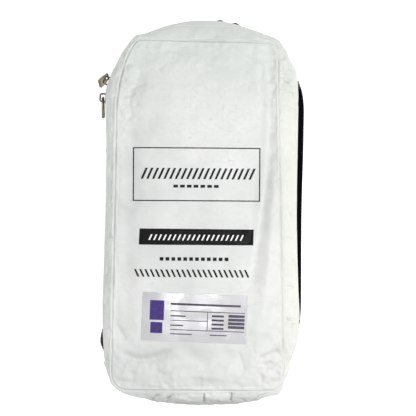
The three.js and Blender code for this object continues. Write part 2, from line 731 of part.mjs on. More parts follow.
function addZip() {
  const from = placeOn("left", zipEndLeft) + gap;
  const to = seamLength + placeOn("right", zipEndRight) - gap;
  for (const [side, name] of [[1, "front"], [-1, "back"]]) {
    const profileAt = (distance) => tapeProfile(distance, side);
    caseGroup.add(piece(`zip_tape_${name}`, wallStrip(from, to, profileAt, tape), materials.tape));
    caseGroup.add(piece(`zip_coil_${name}`, coilStrip(from, to, side), materials.coil));
  }
}

// Two sliders nose to nose. The lower one's tab lies along the zip, and the upper one's hangs from its
// bridge.
function addSliders() {
  const meeting = placeOn("left", sliderMeeting);
  const lower = chainFrame(meeting - sliderSpacing / 2);
  const upper = chainFrame(meeting + sliderSpacing / 2);
  const lowerBody = piece("slider_lower", geometryOf(sliderBody()), materials.metal);
  lowerBody.rotation.z = Math.PI;
  const upperBody = piece("slider_upper", geometryOf(sliderBody()), materials.metal);
  lower.add(lowerBody, lyingTab());
  upper.add(upperBody, hangingTab());
  caseGroup.add(lower, upper);
}

// How far a turned tab's bar reaches from its middle in a direction
function barReach(holder, direction) {
  const sizes = [tabBar, tabEyeWidth, tabThickness];
  const reachOn = (size, i) => {
    const axis = new THREE.Vector3().setComponent(i, 1).applyQuaternion(holder.quaternion);
    return (size / 2) * Math.abs(axis.dot(direction));
  };
  return sizes.map(reachOn).reduce((sum, reach) => sum + reach, 0);
}

// The lower tab's eye goes over its bridge, with the bar up against the arch, and its face is turned up
// a little.
function lyingTab() {
  const holder = new THREE.Group();
  const tab = piece("pull_tab_lower", geometryOf(pullTab()), materials.metal);
  tab.position.x = -tabBar / 2;
  holder.rotation.set(-toRadians(tabTwist), toRadians(tabDip), 0);
  holder.position.z = bridgeInside - gap - barReach(holder, new THREE.Vector3(0, 0, 1));
  holder.add(tab);
  return holder;
}

// The upper tab hangs by its eye from the bridge's far post, with its bar above the post, and leans out
// from the wall.
function hangingTab() {
  const holder = new THREE.Group();
  const tab = piece("pull_tab_upper", geometryOf(pullTab()), materials.metal);
  tab.position.x = -tabBar / 2;
  holder.rotation.set(-toRadians(tabLean), 0, toRadians(tabSweep - 90));
  holder.rotateX(-toRadians(tabTurn));
  const bar = new THREE.Vector3(0, 1, 0).applyQuaternion(holder.quaternion);
  const off = new THREE.Vector3(-bar.y, bar.x, 0).normalize(); // away from the post, square to the bar
  const post = (bridgeThickness * Math.abs(off.x) + bridgeWidth * Math.abs(off.y)) / 2;
  holder.position.copy(off).multiplyScalar(post + gap + barReach(holder, off));
  holder.position.x -= (bridgeLength - bridgeThickness) / 2;
  holder.position.z = topPlateOutside + gap + barReach(holder, new THREE.Vector3(0, 0, 1));
  holder.add(tab);
  return holder;
}

addPanels();
addGussets();
addZip();
addSliders();

export default caseGroup;
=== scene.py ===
"""A white zipped case for a sliding mitt, lying on its back and seen from straight above."""
import logging
import math
from dataclasses import dataclass, field
from enum import Enum
from functools import partial
from typing import Any, Callable, Sequence

import bmesh
import bpy
import numpy as np
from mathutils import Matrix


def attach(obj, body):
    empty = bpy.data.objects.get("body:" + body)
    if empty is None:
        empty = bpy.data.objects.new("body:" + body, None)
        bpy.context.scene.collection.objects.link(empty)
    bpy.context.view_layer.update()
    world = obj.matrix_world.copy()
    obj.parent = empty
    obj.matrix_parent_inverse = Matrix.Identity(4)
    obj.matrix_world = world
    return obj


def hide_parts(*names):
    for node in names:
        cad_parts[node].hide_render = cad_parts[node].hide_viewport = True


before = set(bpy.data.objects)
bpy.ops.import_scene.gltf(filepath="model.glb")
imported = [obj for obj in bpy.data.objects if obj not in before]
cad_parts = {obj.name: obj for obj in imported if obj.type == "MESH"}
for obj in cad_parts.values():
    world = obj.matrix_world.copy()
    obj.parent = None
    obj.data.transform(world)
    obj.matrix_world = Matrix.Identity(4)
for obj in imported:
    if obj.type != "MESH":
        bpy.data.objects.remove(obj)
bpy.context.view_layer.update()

MM = 0.001
LOG = logging.getLogger("zip_case")
Grid = np.ndarray
Curve = Callable[[Grid], Grid]
Faces = list[tuple[int, ...]]
Place = tuple[float, float]
Corners = tuple[Place, ...]
Box = tuple[float, float, float, float]
Adder = Callable[..., bpy.types.Node]
SHARP_EDGE = math.radians(65)  # a mesh's edges that turn more than this look sharp
FACET_CELLS = 97  # how many cells of facets there are before they repeat
NOISE_CELLS = 61  # the same for the soft noise
WAVE_BANDS = 3.1  # how many bands a wave texture has for each unit of its scale


def linear(hex_colour: str) -> tuple[float, float, float, float]:
    """Turn an sRGB hex colour into a linear one.

    Args:
        hex_colour: the colour as "#rrggbb".

    Returns:
        Red, green, blue and an alpha of 1, linear.
    """
    parts = [int(hex_colour[i:i + 2], 16) / 255 for i in (1, 3, 5)]
    red, green, blue = (c / 12.92 if c <= 0.04045 else ((c + 0.055) / 1.055) ** 2.4 for c in parts)
    return (red, green, blue, 1.0)


def add_node(tree: bpy.types.NodeTree, kind: str, settings: dict[str, Any] | None = None,
             **sockets: Any) -> bpy.types.Node:
    """Add a node, and set or link its inputs.

    Args:
        tree: the node tree.
        kind: the node's type, without ShaderNode before it.
        settings: properties of the node itself.
        sockets: a value or an output socket for each input, by its name with _ for a space, or by its number
            as in0, in1 and so on.

    Returns:
        The new node.
    """
    node = tree.nodes.new(f"ShaderNode{kind}")
    for name, value in (settings or {}).items():
        setattr(node, name, value)
    for name, value in sockets.items():
        key: int | str = int(name[2:]) if name[:2] == "in" and name[2:].isdigit() else name.replace("_", " ")
        if isinstance(value, bpy.types.NodeSocket):
            tree.links.new(value, node.inputs[key])
        else:
            node.inputs[key].default_value = value
    return node


def ramp(node: bpy.types.Node, stops: Sequence[tuple[float, str]]) -> bpy.types.NodeSocket:
    """Set a colour ramp's stops.

    Args:
        node: the colour ramp.
        stops: places from 0 to 1, each with its hex colour.

    Returns:
        The ramp's colour output.
    """
    elements = node.color_ramp.elements
    while len(elements) < len(stops):
        elements.new(0.5)
    for element, (place, colour) in zip(elements, stops):
        element.position, element.color = place, linear(colour)
    return node.outputs["Color"]


def smoothstep(low: float, high: float, value: Grid) -> Grid:
    """Rise smoothly from 0 at low to 1 at high."""
    t = np.clip((value - low) / (high - low), 0, 1)
    return t * t * (3 - 2 * t)


def bump_at(value: Grid, place: float, width: float) -> Grid:
    """A soft bump of height 1 about a place."""
    return np.exp(-(((value - place) / width) ** 2))


def line_distance(points: Grid, x: Grid, y: Grid) -> tuple[Grid, Grid]:
    """How far places are from a line of straight runs.

    Args:
        points: the points that the line passes.
        x: the places' first coordinate.
        y: their second.

    Returns:
        The distance from the line, and the share of its length at which it is nearest.
    """
    best = np.full(x.shape, np.inf)
    share = np.zeros(x.shape)
    lengths = np.linalg.norm(np.diff(points, axis=0), axis=1)
    before = np.concatenate([[0], np.cumsum(lengths)])
    for i, (start, end) in enumerate(zip(points[:-1], points[1:])):
        run = end - start
        t = np.clip(((x - start[0]) * run[0] + (y - start[1]) * run[1]) / (run @ run), 0, 1)
        away = np.hypot(x - start[0] - t * run[0], y - start[1] - t * run[1])
        closer = away < best
        best = np.where(closer, away, best)
        share = np.where(closer, (before[i] + t * lengths[i]) / before[-1], share)
    return best, share


class Side(Enum):
    """The front panel's four sides, clockwise from above."""

    TOP = 0
    RIGHT = 1
    BOTTOM = 2
    LEFT = 3


WALL_TABLE: tuple[tuple[Side, float, float, float], ...] = (  # side, share along it, stand-off, zip's reach
    (Side.TOP, 0, 0.43, -0.25), (Side.TOP, 0.1, 0.32, -0.25), (Side.TOP, 0.2, 0.29, -0.25),
    (Side.TOP, 0.35, 0.73, -0.25), (Side.TOP, 0.5, 1, -0.25), (Side.TOP, 0.6, 1.02, -0.2),
    (Side.TOP, 0.67, 1.016, 0.45), (Side.TOP, 0.715, 0.968, -0.05), (Side.TOP, 0.76, 0.886, 0.5),
    (Side.TOP, 0.82, 0.755, -0.2), (Side.TOP, 0.85, 0.69, -0.2), (Side.RIGHT, 0, 0.36, -0.25),
    (Side.RIGHT, 0.07, 0.87, -0.1), (Side.RIGHT, 0.14, 0.95, 0.8), (Side.RIGHT, 0.24, 0.91, 0.98),
    (Side.RIGHT, 0.5, 0.785, 0.85), (Side.RIGHT, 0.72, 0.8, 0.56), (Side.RIGHT, 0.8, 0.835, 0.3),
    (Side.RIGHT, 0.86, 0.8, -0.1), (Side.RIGHT, 0.93, 0.45, -0.25), (Side.BOTTOM, 0, 0.15, -0.25),
    (Side.BOTTOM, 0.1, 0.36, -0.25), (Side.BOTTOM, 0.22, 0.63, -0.25), (Side.BOTTOM, 0.5, 0.735, -0.25),
    (Side.BOTTOM, 0.75, 0.6, -0.25), (Side.BOTTOM, 0.9, 0.3, -0.25), (Side.LEFT, 0, 0.18, -0.25),
    (Side.LEFT, 0.08, 0.36, -0.1), (Side.LEFT, 0.13, 0.44, 0.55), (Side.LEFT, 0.2, 0.49, -0.1),
    (Side.LEFT, 0.27, 0.51, -0.25), (Side.LEFT, 0.5, 0.46, -0.25), (Side.LEFT, 0.75, 0.48, -0.25),
    (Side.LEFT, 0.88, 0.56, -0.1), (Side.LEFT, 0.94, 0.6, -0.15),
)

# from, past and to as shares across and up the panel, then the rise and the spread as shares
BROAD_FOLDS: tuple[tuple[Place, Place, Place, float, float], ...] = (
    ((0.97, 0.98), (0.935, 0.68), (0.86, 0.35), -0.5, 0.05),
    ((0.96, 0.62), (0.92, 0.38), (0.79, 0.03), 0.36, 0.045),
    ((0.1, 0.84), (0.47, 1.0), (0.92, 0.8), -0.3, 0.07),
    ((0.05, 0.11), (0.25, 0.08), (0.72, 0.1), -0.32, 0.055),
    ((0.12, 0.05), (0.4, 0.04), (0.75, 0.05), 0.2, 0.04),
    ((0.02, 0.19), (0.05, 0.165), (0.09, 0.14), -0.25, 0.025),
    ((0.01, 0.82), (0.08, 0.87), (0.3, 0.93), -0.22, 0.03),
    ((0.03, 0.83), (0.07, 0.89), (0.11, 0.93), 0.3, 0.03),
)

# side, share along it, depth in sheets, width and slant as shares of the stand-off
PLEATS: tuple[tuple[Side, float, float, float, float], ...] = (
    (Side.BOTTOM, 0.24, 1.1, 0.12, 0.02), (Side.BOTTOM, 0.4, 1.4, 0.14, -0.04),
    (Side.BOTTOM, 0.69, 1.6, 0.2, 0.5), (Side.BOTTOM, 0.8, 1.3, 0.18, 0.55),
    (Side.RIGHT, 0.82, 0.9, 0.12, 0.05), (Side.RIGHT, 0.93, 1.2, 0.16, 0.3),
)

# for each corner from the top left: how far its rounding reaches before it and after it, and how full it is
CORNER_ROUNDING: tuple[tuple[float, float, float], ...] = (
    (2.85, 0.925, 0.5), (0.425, 0.55, 1.0), (1.0, 0.65, 1.0), (0.825, 0.925, 1.0),
)


@dataclass
class CaseForm:
    """The front seam's ring, the side wall round it and the front panel's dome."""

    length: float = 322.0
    top_width: float = 147.0
    bottom_width: float = 159.0
    top_middle: tuple[float, float] = (-4.8, 158.5)
    bottom_shift: float = -0.5
    top_drop: float = 3.7
    bottom_drop: float = 1.0
    corner_cut: float = 20.0
    seam_height: float = 43.0
    crown_rise: float = 5.5
    corner_fall: float = 4.0
    front_edge: float = 31.0
    zip_height: float = 21.5
    back_edge: float = 12.0
    stand_off: float = 20.0
    bulge: float = 0.6
    back_tuck: float = 5.0
    tape_show: float = 6.5
    sheet: float = 1.0
    tape: float = 1.0
    gap: float = 0.3
    coil_width: float = 2.6
    coil_thickness: float = 1.8
    closed_gap: float = 0.2
    open_gap: float = 0.9
    tape_flat: float = 5.3
    zip_end_left: float = 0.078
    zip_end_right: float = 0.862
    join_left: float = 0.897
    join_right: float = 0.169
    slider_spacing: float = 13.8
    slider_meeting: float = 0.931
    label_middle: tuple[float, float] = (-7.8, -96.0)
    label_size: tuple[float, float] = (96.0, 44.4)
    label_turn: float = -2.2
    ring_steps: int = 400
    ring: Grid = field(init=False)
    ring_at: Grid = field(init=False)
    ring_length: float = field(init=False)
    stand_share: Curve = field(init=False)
    zip_share: Curve = field(init=False)
    sides: dict[Side, tuple[float, float]] = field(init=False)

    def __post_init__(self) -> None:
        """Lay out the seam's ring and the columns of the wall's table."""
        self._lay_ring()
        self.stand_share = self._column(2)
        self.zip_share = self._column(3)

    def corner(self, across: float, up: float) -> Grid:
        """The corner where two straight runs of the seam would meet.

        Args:
            across: 0 on the left, 1 on the right.
            up: 0 at the bottom, 1 at the top.

        Returns:
            The corner in plan.
        """
        middle = np.array([self.top_middle[0] + (1 - up) * self.bottom_shift,
                           self.top_middle[1] - (1 - up) * self.length])
        width = self.top_width if up else self.bottom_width
        drop = self.top_drop if up else self.bottom_drop
        return middle + (across - 0.5) * np.array([width, -drop])

    def _lay_ring(self) -> None:
        """Sample the seam finely, clockwise from the end of its top left corner, and find its sides."""
        corners = [self.corner(0, 1), self.corner(1, 1), self.corner(1, 0), self.corner(0, 0)]
        rounded = []
        for i, (before, after, full) in enumerate(CORNER_ROUNDING):
            here, last, following = corners[i], corners[i - 1], corners[(i + 1) % 4]
            start = here + (last - here) / np.linalg.norm(last - here) * before * self.corner_cut
            end = here + (following - here) / np.linalg.norm(following - here) * after * self.corner_cut
            rounded.append((start, (start + end) / 2 * (1 - full) + here * full, end))
        t = np.linspace(0, 1, self.ring_steps + 1)[:, None]
        pieces, ends, total = [], [], 0.0
        for i in range(4):
            start, control, end = rounded[(i + 1) % 4]
            run = rounded[i][2] * (1 - t) + start * t
            bend = start * (1 - t) ** 2 + control * 2 * t * (1 - t) + end * t ** 2
            for curve in (run, bend):
                total += float(np.linalg.norm(np.diff(curve, axis=0), axis=1).sum())
                ends.append(total)
                pieces.append(curve[:-1])
        self.ring = np.vstack([*pieces, rounded[0][2][None]])
        steps = np.linalg.norm(np.diff(self.ring, axis=0), axis=1)
        self.ring_at = np.concatenate([[0], np.cumsum(steps)])
        self.ring_length = float(self.ring_at[-1])
        middles = [(ends[i - 1] + ends[i]) / 2 for i in (1, 3, 5, 7)]
        starts = [middles[3] - total, *middles[:3]]
        self.sides = {side: (starts[i], middles[i] - starts[i]) for i, side in enumerate(Side)}

    def place(self, side: Side, along: float) -> float:
        """The distance round the seam of a share of a side."""
        start, length = self.sides[side]
        return start + along * length

    def _column(self, column: int) -> Curve:
        """A smooth function round the seam through one column of the wall's table.

        Args:
            column: the column's place in a row of the table.

        Returns:
            The function.
        """
        knots = sorted((self.place(row[0], row[1]) % self.ring_length, row[column]) for row in WALL_TABLE)
        at, value = np.array(knots).T
        at = np.concatenate([at[-2:] - self.ring_length, at, at[:3] + self.ring_length])
        value = np.concatenate([value[-2:], value, value[:3]])
        slope = np.zeros_like(at)
        slope[1:-1] = (value[2:] - value[:-2]) / (at[2:] - at[:-2])

        def column_at(distance: Grid) -> Grid:
            """The column's value at distances round the seam.

            Args:
                distance: distances round the seam, in millimetres.

            Returns:
                The value at each.
            """
            wrapped = np.asarray(distance) % self.ring_length
            i = np.searchsorted(at, wrapped, side="right") - 1
            span = at[i + 1] - at[i]
            t = (wrapped - at[i]) / span
            ease = t * t * (3 - 2 * t)
            return (value[i] * (1 - ease) + value[i + 1] * ease + slope[i] * span * t * (1 - t) ** 2
                    - slope[i + 1] * span * t * t * (1 - t))

        return column_at

    def seam_point(self, distance: Grid) -> Grid:
        """The seam's points in plan."""
        wrapped = np.asarray(distance) % self.ring_length
        return np.stack([np.interp(wrapped, self.ring_at, self.ring[:, i]) for i in (0, 1)], axis=-1)

    def outward(self, distance: Grid) -> Grid:
        """The outward direction in plan, averaged over a few millimetres.

        Args:
            distance: distances round the seam, in millimetres.

        Returns:
            A unit direction for each.
        """
        along = self.seam_point(np.asarray(distance) + 2) - self.seam_point(np.asarray(distance) - 2)
        along /= np.linalg.norm(along, axis=-1, keepdims=True)
        return np.stack([-along[..., 1], along[..., 0]], axis=-1)

    def edge_distance(self, x: Grid, y: Grid) -> Grid:
        """How far places in the panel are from its seam.

        Args:
            x: places across, in millimetres.
            y: places up the case, in millimetres.

        Returns:
            The distances, in millimetres.
        """
        ring = self.ring[::2]
        flat = np.stack([x.ravel(), y.ravel()], axis=1)
        nearest = np.empty(len(flat))
        for start in range(0, len(flat), 2000):
            part = flat[start:start + 2000]
            gaps = ((part[:, None, :] - ring[None]) ** 2).sum(-1)
            nearest[start:start + 2000] = np.sqrt(gaps.min(1))
        return nearest.reshape(x.shape)

    def broad_height(self, x: Grid, y: Grid) -> Grid:
        """The dome and broad folds that the solids hold too.

        Args:
            x: places across, in millimetres.
            y: places up the case, in millimetres.

        Returns:
            The height above the table.
        """
        up = (y - self.top_middle[1] + self.length) / self.length
        width = self.bottom_width + (self.top_width - self.bottom_width) * up
        across = (x - self.top_middle[0] - (1 - up) * self.bottom_shift) / width + 0.5
        sideways = np.minimum(1, np.abs(2 * across - 1))
        lengthways = np.minimum(1, np.abs(2 * up - 1))
        height = (self.seam_height + self.crown_rise * (1 - sideways ** 3) * (1 - lengthways ** 6)
                  - self.corner_fall * sideways ** 4 * lengthways ** 8)
        for *places, rise, spread in BROAD_FOLDS:
            start, past, end = (self._panel_place(a, u) for a, u in places)
            t = np.linspace(0, 1, 13)[:, None]
            first = self._spline(start, start, past, end, t)
            points = np.vstack([first, self._spline(start, past, end, end, t)[1:]])
            away, share = line_distance(points, x, y)
            fade = np.sin(math.pi * (0.12 + 0.76 * share))
            height = height + rise * self.crown_rise * fade * bump_at(away, 0, spread * self.top_width)
        return height

    def _panel_place(self, across: float, up: float) -> Grid:
        """A place in plan from shares across and up the panel.

        Args:
            across: 0 at the left corners, 1 at the right ones.
            up: 0 at the bottom corners, 1 at the top ones.

        Returns:
            The place.
        """
        low = self.corner(0, 0) * (1 - across) + self.corner(1, 0) * across
        high = self.corner(0, 1) * (1 - across) + self.corner(1, 1) * across
        return low * (1 - up) + high * up

    @staticmethod
    def _spline(before: Grid, start: Grid, end: Grid, after: Grid, t: Grid) -> Grid:
        """One span of a Catmull-Rom curve."""
        leave, arrive = (end - before) / 2, (after - start) / 2
        return ((2 * start - 2 * end + leave + arrive) * t ** 3
                + (-3 * start + 3 * end - 2 * leave - arrive) * t ** 2 + leave * t + start)

    def stand(self, distance: Grid) -> Grid:
        """How far the wall stands out from the seam."""
        return self.stand_off * self.stand_share(distance)

    def tape_face(self, distance: Grid) -> Grid:
        """How far out the tapes' outer face is."""
        reach = self.tape_show * self.zip_share(distance)
        return self.stand(distance) + reach - self.coil_thickness - self.gap

    def back_stand(self, distance: Grid) -> Grid:
        """How far out the back gusset is at its edge."""
        return self.stand(distance) - 1 + 0.5 * np.maximum(0, self.tape_show * self.zip_share(distance))

    def zip_gap(self, distance: Grid) -> Grid:
        """How far each half of the chain keeps from the middle line.

        Args:
            distance: distances round the seam, in millimetres.

        Returns:
            The distances, which open between the two sliders.
        """
        middle = self.place(Side.LEFT, self.slider_meeting)
        half = self.ring_length / 2
        away = np.abs((np.asarray(distance) - middle + half) % self.ring_length - half)
        shut = smoothstep(self.slider_spacing / 2 - 2, self.slider_spacing / 2 + 1.5, away)
        return self.open_gap + (self.closed_gap - self.open_gap) * shut

    def pleat(self, distance: Grid, down: Grid) -> Grid:
        """How far the pleats draw the wall in at shares of the way down.

        Args:
            distance: distances round the seam, in millimetres.
            down: 0 at the front seam, 1 at the back one.

        Returns:
            The distances, in millimetres.
        """
        total = np.zeros(np.broadcast(distance, down).shape)
        for side, along, depth, width, slant in PLEATS:
            away = (distance - self.place(side, along) - slant * self.stand_off * down) % self.ring_length
            away = np.minimum(away, self.ring_length - away) / (width * self.stand_off)
            total += depth * self.sheet * np.sin(math.pi * down) * np.exp(-(away ** 2))
        return total

    def in_space(self, distance: Grid, out: Grid, height: Grid) -> Grid:
        """Points from distances round the seam, how far out and how high.

        Args:
            distance: distances round the seam, in millimetres.
            out: how far out from the seam.
            height: how far above the table.

        Returns:
            The points.
        """
        point, outward = self.seam_point(distance), self.outward(distance)
        flat = point + outward * out[..., None]
        return np.concatenate([flat, height[..., None]], axis=-1)


@dataclass(frozen=True)
class FacetField:
    """Crumpled sheet: flat facets that meet in sharp creases, as many small random folds leave it."""

    seed: int
    cell: float
    slope: float
    stretch: float = 1.0

    def height(self, x: Grid, y: Grid) -> Grid:
        """The facets' height at places, from the squared distances to two sets of scattered points.

        Args:
            x: across the sheet, in millimetres.
            y: up the sheet, in millimetres.

        Returns:
            The height added, in millimetres, about zero.
        """
        draw = np.random.default_rng(self.seed)
        u, v = np.asarray(x) / (self.cell * self.stretch), np.asarray(y) / self.cell
        total = np.zeros(np.broadcast(u, v).shape)
        for sign in (1, -1):
            jitter = draw.uniform(0, 1, (FACET_CELLS, FACET_CELLS, 2))
            column, row = np.floor(u).astype(int), np.floor(v).astype(int)
            nearest = np.full(total.shape, np.inf)
            for i in (-1, 0, 1):
                for j in (-1, 0, 1):
                    point = jitter[(column + i) % FACET_CELLS, (row + j) % FACET_CELLS]
                    away = (u - column - i - point[..., 0]) ** 2 + (v - row - j - point[..., 1]) ** 2
                    nearest = np.minimum(nearest, away)
            total = total + sign * nearest
        return total * self.slope * self.cell


def soft_noise(seed: int, cell: float, x: Grid, y: Grid) -> Grid:
    """Smooth random values from 0 to 1, which change over about a cell's length in millimetres.

    Args:
        seed: starts the random draws.
        cell: the cell's length.
        x: places one way, in millimetres.
        y: places the other way.

    Returns:
        The values.
    """
    table = np.random.default_rng(seed).uniform(0, 1, (NOISE_CELLS, NOISE_CELLS))
    u, v = np.asarray(x) / cell, np.asarray(y) / cell
    i, j = np.floor(u).astype(int), np.floor(v).astype(int)
    s, t = smoothstep(0, 1, u - i), smoothstep(0, 1, v - j)
    left, right, below, above = (value % NOISE_CELLS for value in (i, i + 1, j, j + 1))
    low = table[left, below] * (1 - s) + table[right, below] * s
    high = table[left, above] * (1 - s) + table[right, above] * s
    return low * (1 - t) + high * t


@dataclass(frozen=True)
class FoldLine:
    """One fold of the front panel: its line in plan, its rise, its width and whether it is crisp."""

    points: tuple[tuple[float, float], ...]
    rise: float
    width: float
    crisp: bool = False


FOLD_LINES: tuple[FoldLine, ...] = (
    FoldLine(((-56, 134), (-49.4, 143), (-22.8, 152), (4.7, 149), (24.8, 144), (45, 131)), -0.9, 5.0),
    FoldLine(((24.8, 136), (38, 128), (46, 112)), -0.7, 5.0),
    FoldLine(((61, 168), (60, 150), (60, 118), (61, 90), (60, 60), (56, 20), (52, -10), (47, -40), (43, -76)),
             -3.2, 5.2),
    FoldLine(((67, 40), (65, 0), (62.4, -34), (56, -107), (46.8, -139), (39, -155)), 1.5, 5.0),
    FoldLine(((-71.4, 133.9), (-74, 120), (-76.4, 106.4)), 1.2, 1.8, True),
    FoldLine(((-64.1, 131.1), (-68, 122), (-72.3, 112.8)), 1.1, 1.8, True),
    FoldLine(((-76, 105), (-68.7, 110.4), (-63.2, 115.6), (-49.4, 121.1)), -1.3, 2.4, True),
    FoldLine(((-71.4, 133.9), (-66, 132), (-62, 127)), 0.6, 1.8, True),
    FoldLine(((-75.8, 71.2), (-67, 68.9)), 0.5, 1.6, True),
    FoldLine(((-76, 66), (-69, 62.5)), -0.5, 1.8, True),
    FoldLine(((-69, 99.5), (-58, 97)), 0.35, 1.8, True),
    FoldLine(((-30, 84.8), (-22, 79.3)), -0.45, 2.2, True),
    FoldLine(((-17, 86), (-8, 84)), 0.3, 1.6, True),
    FoldLine(((-81, -101.7), (-76, -108), (-70.9, -116.3)), -1.4, 1.8, True),
    FoldLine(((-75.1, -128.2), (-62.3, -134.6), (-49.4, -134.6), (-28.3, -126.4)), -2.3, 3.4),
    FoldLine(((-24, -122), (-8, -132), (6, -141)), -1.3, 6.0),
    FoldLine(((-49.4, -142.9), (-12, -145), (24.8, -152.1)), 1.2, 4.5),
    FoldLine(((32, -126), (36, -137), (38, -146)), -1.1, 1.6, True),
    FoldLine(((-2.1, -150), (-2.1, -162)), -0.9, 1.5, True),
    FoldLine(((-48.5, -146), (-48, -160)), 0.5, 1.6, True),
    FoldLine(((-67.7, -144), (-65, -151), (-62, -158)), -1.0, 2.0, True),
    FoldLine(((46.8, -139), (52, -146), (55, -155)), -1.2, 3.6),
    FoldLine(((58, -120), (60, -135), (58, -152)), 0.8, 4.0),
    FoldLine(((-12, 60), (0, 20), (6, -30)), 0.3, 16.0),
)


# where the panel is crumpled most: how strongly, the middle in plan, and the reach across and up
CRUMPLED_CORNERS: tuple[tuple[float, float, float, float, float], ...] = (
    (1.1, 66, -140, 13, 26), (0.7, 64, 118, 10, 30), (0.7, -66, 112, 13, 26), (0.7, -60, -140, 22, 16),
)


@dataclass
class PanelFace:
    """The front panel's outer face: its broad form, folds, crumples and the edge that turns down."""

    form: CaseForm
    edge_roll: float = 0.9
    groove: float = 1.0
    fine: FacetField = FacetField(11, 6.5, 0.2)
    middle: FacetField = FacetField(23, 15.0, 0.13, 1.4)
    broad: FacetField = FacetField(37, 42.0, 0.05)

    def height(self, x: Grid, y: Grid) -> Grid:
        """The face's height over places in plan.

        Args:
            x: across, in millimetres.
            y: up the case, in millimetres.

        Returns:
            The height above the table, in millimetres.
        """
        form = self.form
        edge = form.edge_distance(x, y)
        folds = np.zeros(x.shape)
        for fold in FOLD_LINES:
            away, share = line_distance(np.array(fold.points), x, y)
            fade = np.clip(np.minimum(share, 1 - share) * 6, 0.0, 1.0) ** 0.7
            shape = np.exp(-away / fold.width) if fold.crisp else np.exp(-((away / fold.width) ** 2))
            folds = folds + fold.rise * fade * shape
        crumples = self._crumples(x, y, edge) * self._under_label(x, y)
        settle = smoothstep(0, 3.0, edge)
        height = form.broad_height(x, y) + (folds + crumples) * settle
        height = height + self._puckers(x, y) * np.exp(-((edge - 2) / 3.5) ** 2) * smoothstep(0, 1.5, edge)
        height += 0.4 * bump_at(edge, 1.7, 1.0) - self._slack(x, y, edge)
        return height - self.groove * np.exp(-((edge / self.edge_roll) ** 2))

    def _crumples(self, x: Grid, y: Grid, edge: Grid) -> Grid:
        """The facets, strong along the edges and in the corners and weak in the middle.

        Args:
            x: places across, in millimetres.
            y: places up the case, in millimetres.
            edge: how far each is from the seam.

        Returns:
            The height added.
        """
        corners = sum(amount * np.exp(-(((x - across) / wide) ** 2) - ((y - up) / tall) ** 2)
                      for amount, across, up, wide, tall in CRUMPLED_CORNERS)
        near = 0.1 + 0.75 * np.exp(-edge / 10) + 1.3 * corners
        near = near + 0.3 * smoothstep(120, 140, y) + 0.35 * smoothstep(-120, -138, y)
        patches = 0.35 + 1.3 * soft_noise(3, 17, x, y) ** 1.5
        fine = self.fine.height(x, y) * near * patches
        middle = self.middle.height(x, y) * (0.35 + 0.65 * np.minimum(1, near))
        return fine + middle + self.broad.height(x, y)

    def _under_label(self, x: Grid, y: Grid) -> Grid:
        """How much of the crumpling is left at a place: little of it under the label.

        Args:
            x: places across, in millimetres.
            y: places up the case, in millimetres.

        Returns:
            Shares from 0.3 to 1.
        """
        middle, (width, tall) = self.form.label_middle, self.form.label_size
        turn = math.radians(self.form.label_turn)
        across = (x - middle[0]) * math.cos(turn) + (y - middle[1]) * math.sin(turn)
        up = (y - middle[1]) * math.cos(turn) - (x - middle[0]) * math.sin(turn)
        beyond = np.maximum(np.abs(across) - width / 2, np.abs(up) - tall / 2)
        return 0.3 + 0.7 * smoothstep(0, 6, beyond)

    @staticmethod
    def _slack(x: Grid, y: Grid, edge: Grid) -> Grid:
        """How far the slack panel sinks beside its left seam."""
        long = smoothstep(-128, -60, y) * smoothstep(162, 140, y)
        return 2.0 * smoothstep(-40, -55, x) * long * bump_at(edge, 13.0, 8.0)

    @staticmethod
    def _puckers(x: Grid, y: Grid) -> Grid:
        """Small ripples that a tight lockstitch draws into the sheet beside it, about 7 mm apart."""
        return 0.09 * (np.sin(x * 0.83 + 2 * np.sin(y * 0.11)) + np.sin(y * 0.91 + 2 * np.sin(x * 0.13)))


def new_piece(name: str, points: Grid, faces: Sequence[Sequence[int]], body: str = "case",
              cuts: Grid | None = None) -> bpy.types.Object:
    """Make an object from points in millimetres.

    Args:
        name: the piece's name.
        points: its points, one row each.
        faces: indices of each face's points.
        body: the body that it rides on.
        cuts: places on the flat cloth in metres, one row for each point, for a UV map.

    Returns:
        The new object.
    """
    mesh = bpy.data.meshes.new(name)
    mesh.from_pydata((points.reshape(-1, 3) * MM).tolist(), [], [list(face) for face in faces])
    mesh.validate()
    mesh.polygons.foreach_set("use_smooth", np.ones(len(mesh.polygons), dtype=bool))
    mesh.set_sharp_from_angle(angle=SHARP_EDGE)
    if cuts is not None:
        layer = mesh.uv_layers.new(name="cloth")
        corner_points = np.zeros(len(mesh.loops), dtype=np.int32)
        mesh.loops.foreach_get("vertex_index", corner_points)
        layer.data.foreach_set("uv", cuts.reshape(-1, 2)[corner_points].ravel())
    mesh.update()
    piece = bpy.data.objects.new(name, mesh)
    bpy.context.scene.collection.objects.link(piece)
    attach(piece, body)
    return piece


def shell(outer: Grid, inner: Grid) -> tuple[Grid, Faces]:
    """Join an outer and an inner grid of points into a closed sheet.

    Args:
        outer: rows and columns of points, whose rows and columns turn so that faces point outwards.
        inner: the same for the face behind it.

    Returns:
        All points, and the faces.
    """
    rows, columns = outer.shape[:2]
    count = rows * columns
    at = np.arange(count).reshape(rows, columns)
    top = np.stack([at[:-1, :-1], at[:-1, 1:], at[1:, 1:], at[1:, :-1]], -1).reshape(-1, 4)
    below = np.stack([at[:-1, :-1], at[1:, :-1], at[1:, 1:], at[:-1, 1:]], -1).reshape(-1, 4) + count
    rims = []
    for line, turned in ((at[:, 0], False), (at[:, -1], True), (at[0], True), (at[-1], False)):
        a, b = (line[1:], line[:-1]) if turned else (line[:-1], line[1:])
        rims.append(np.stack([a, b, b + count, a + count], -1))
    faces = np.vstack([top, below, *rims])
    points = np.concatenate([outer.reshape(-1, 3), inner.reshape(-1, 3)])
    return points, [tuple(face) for face in faces.tolist()]


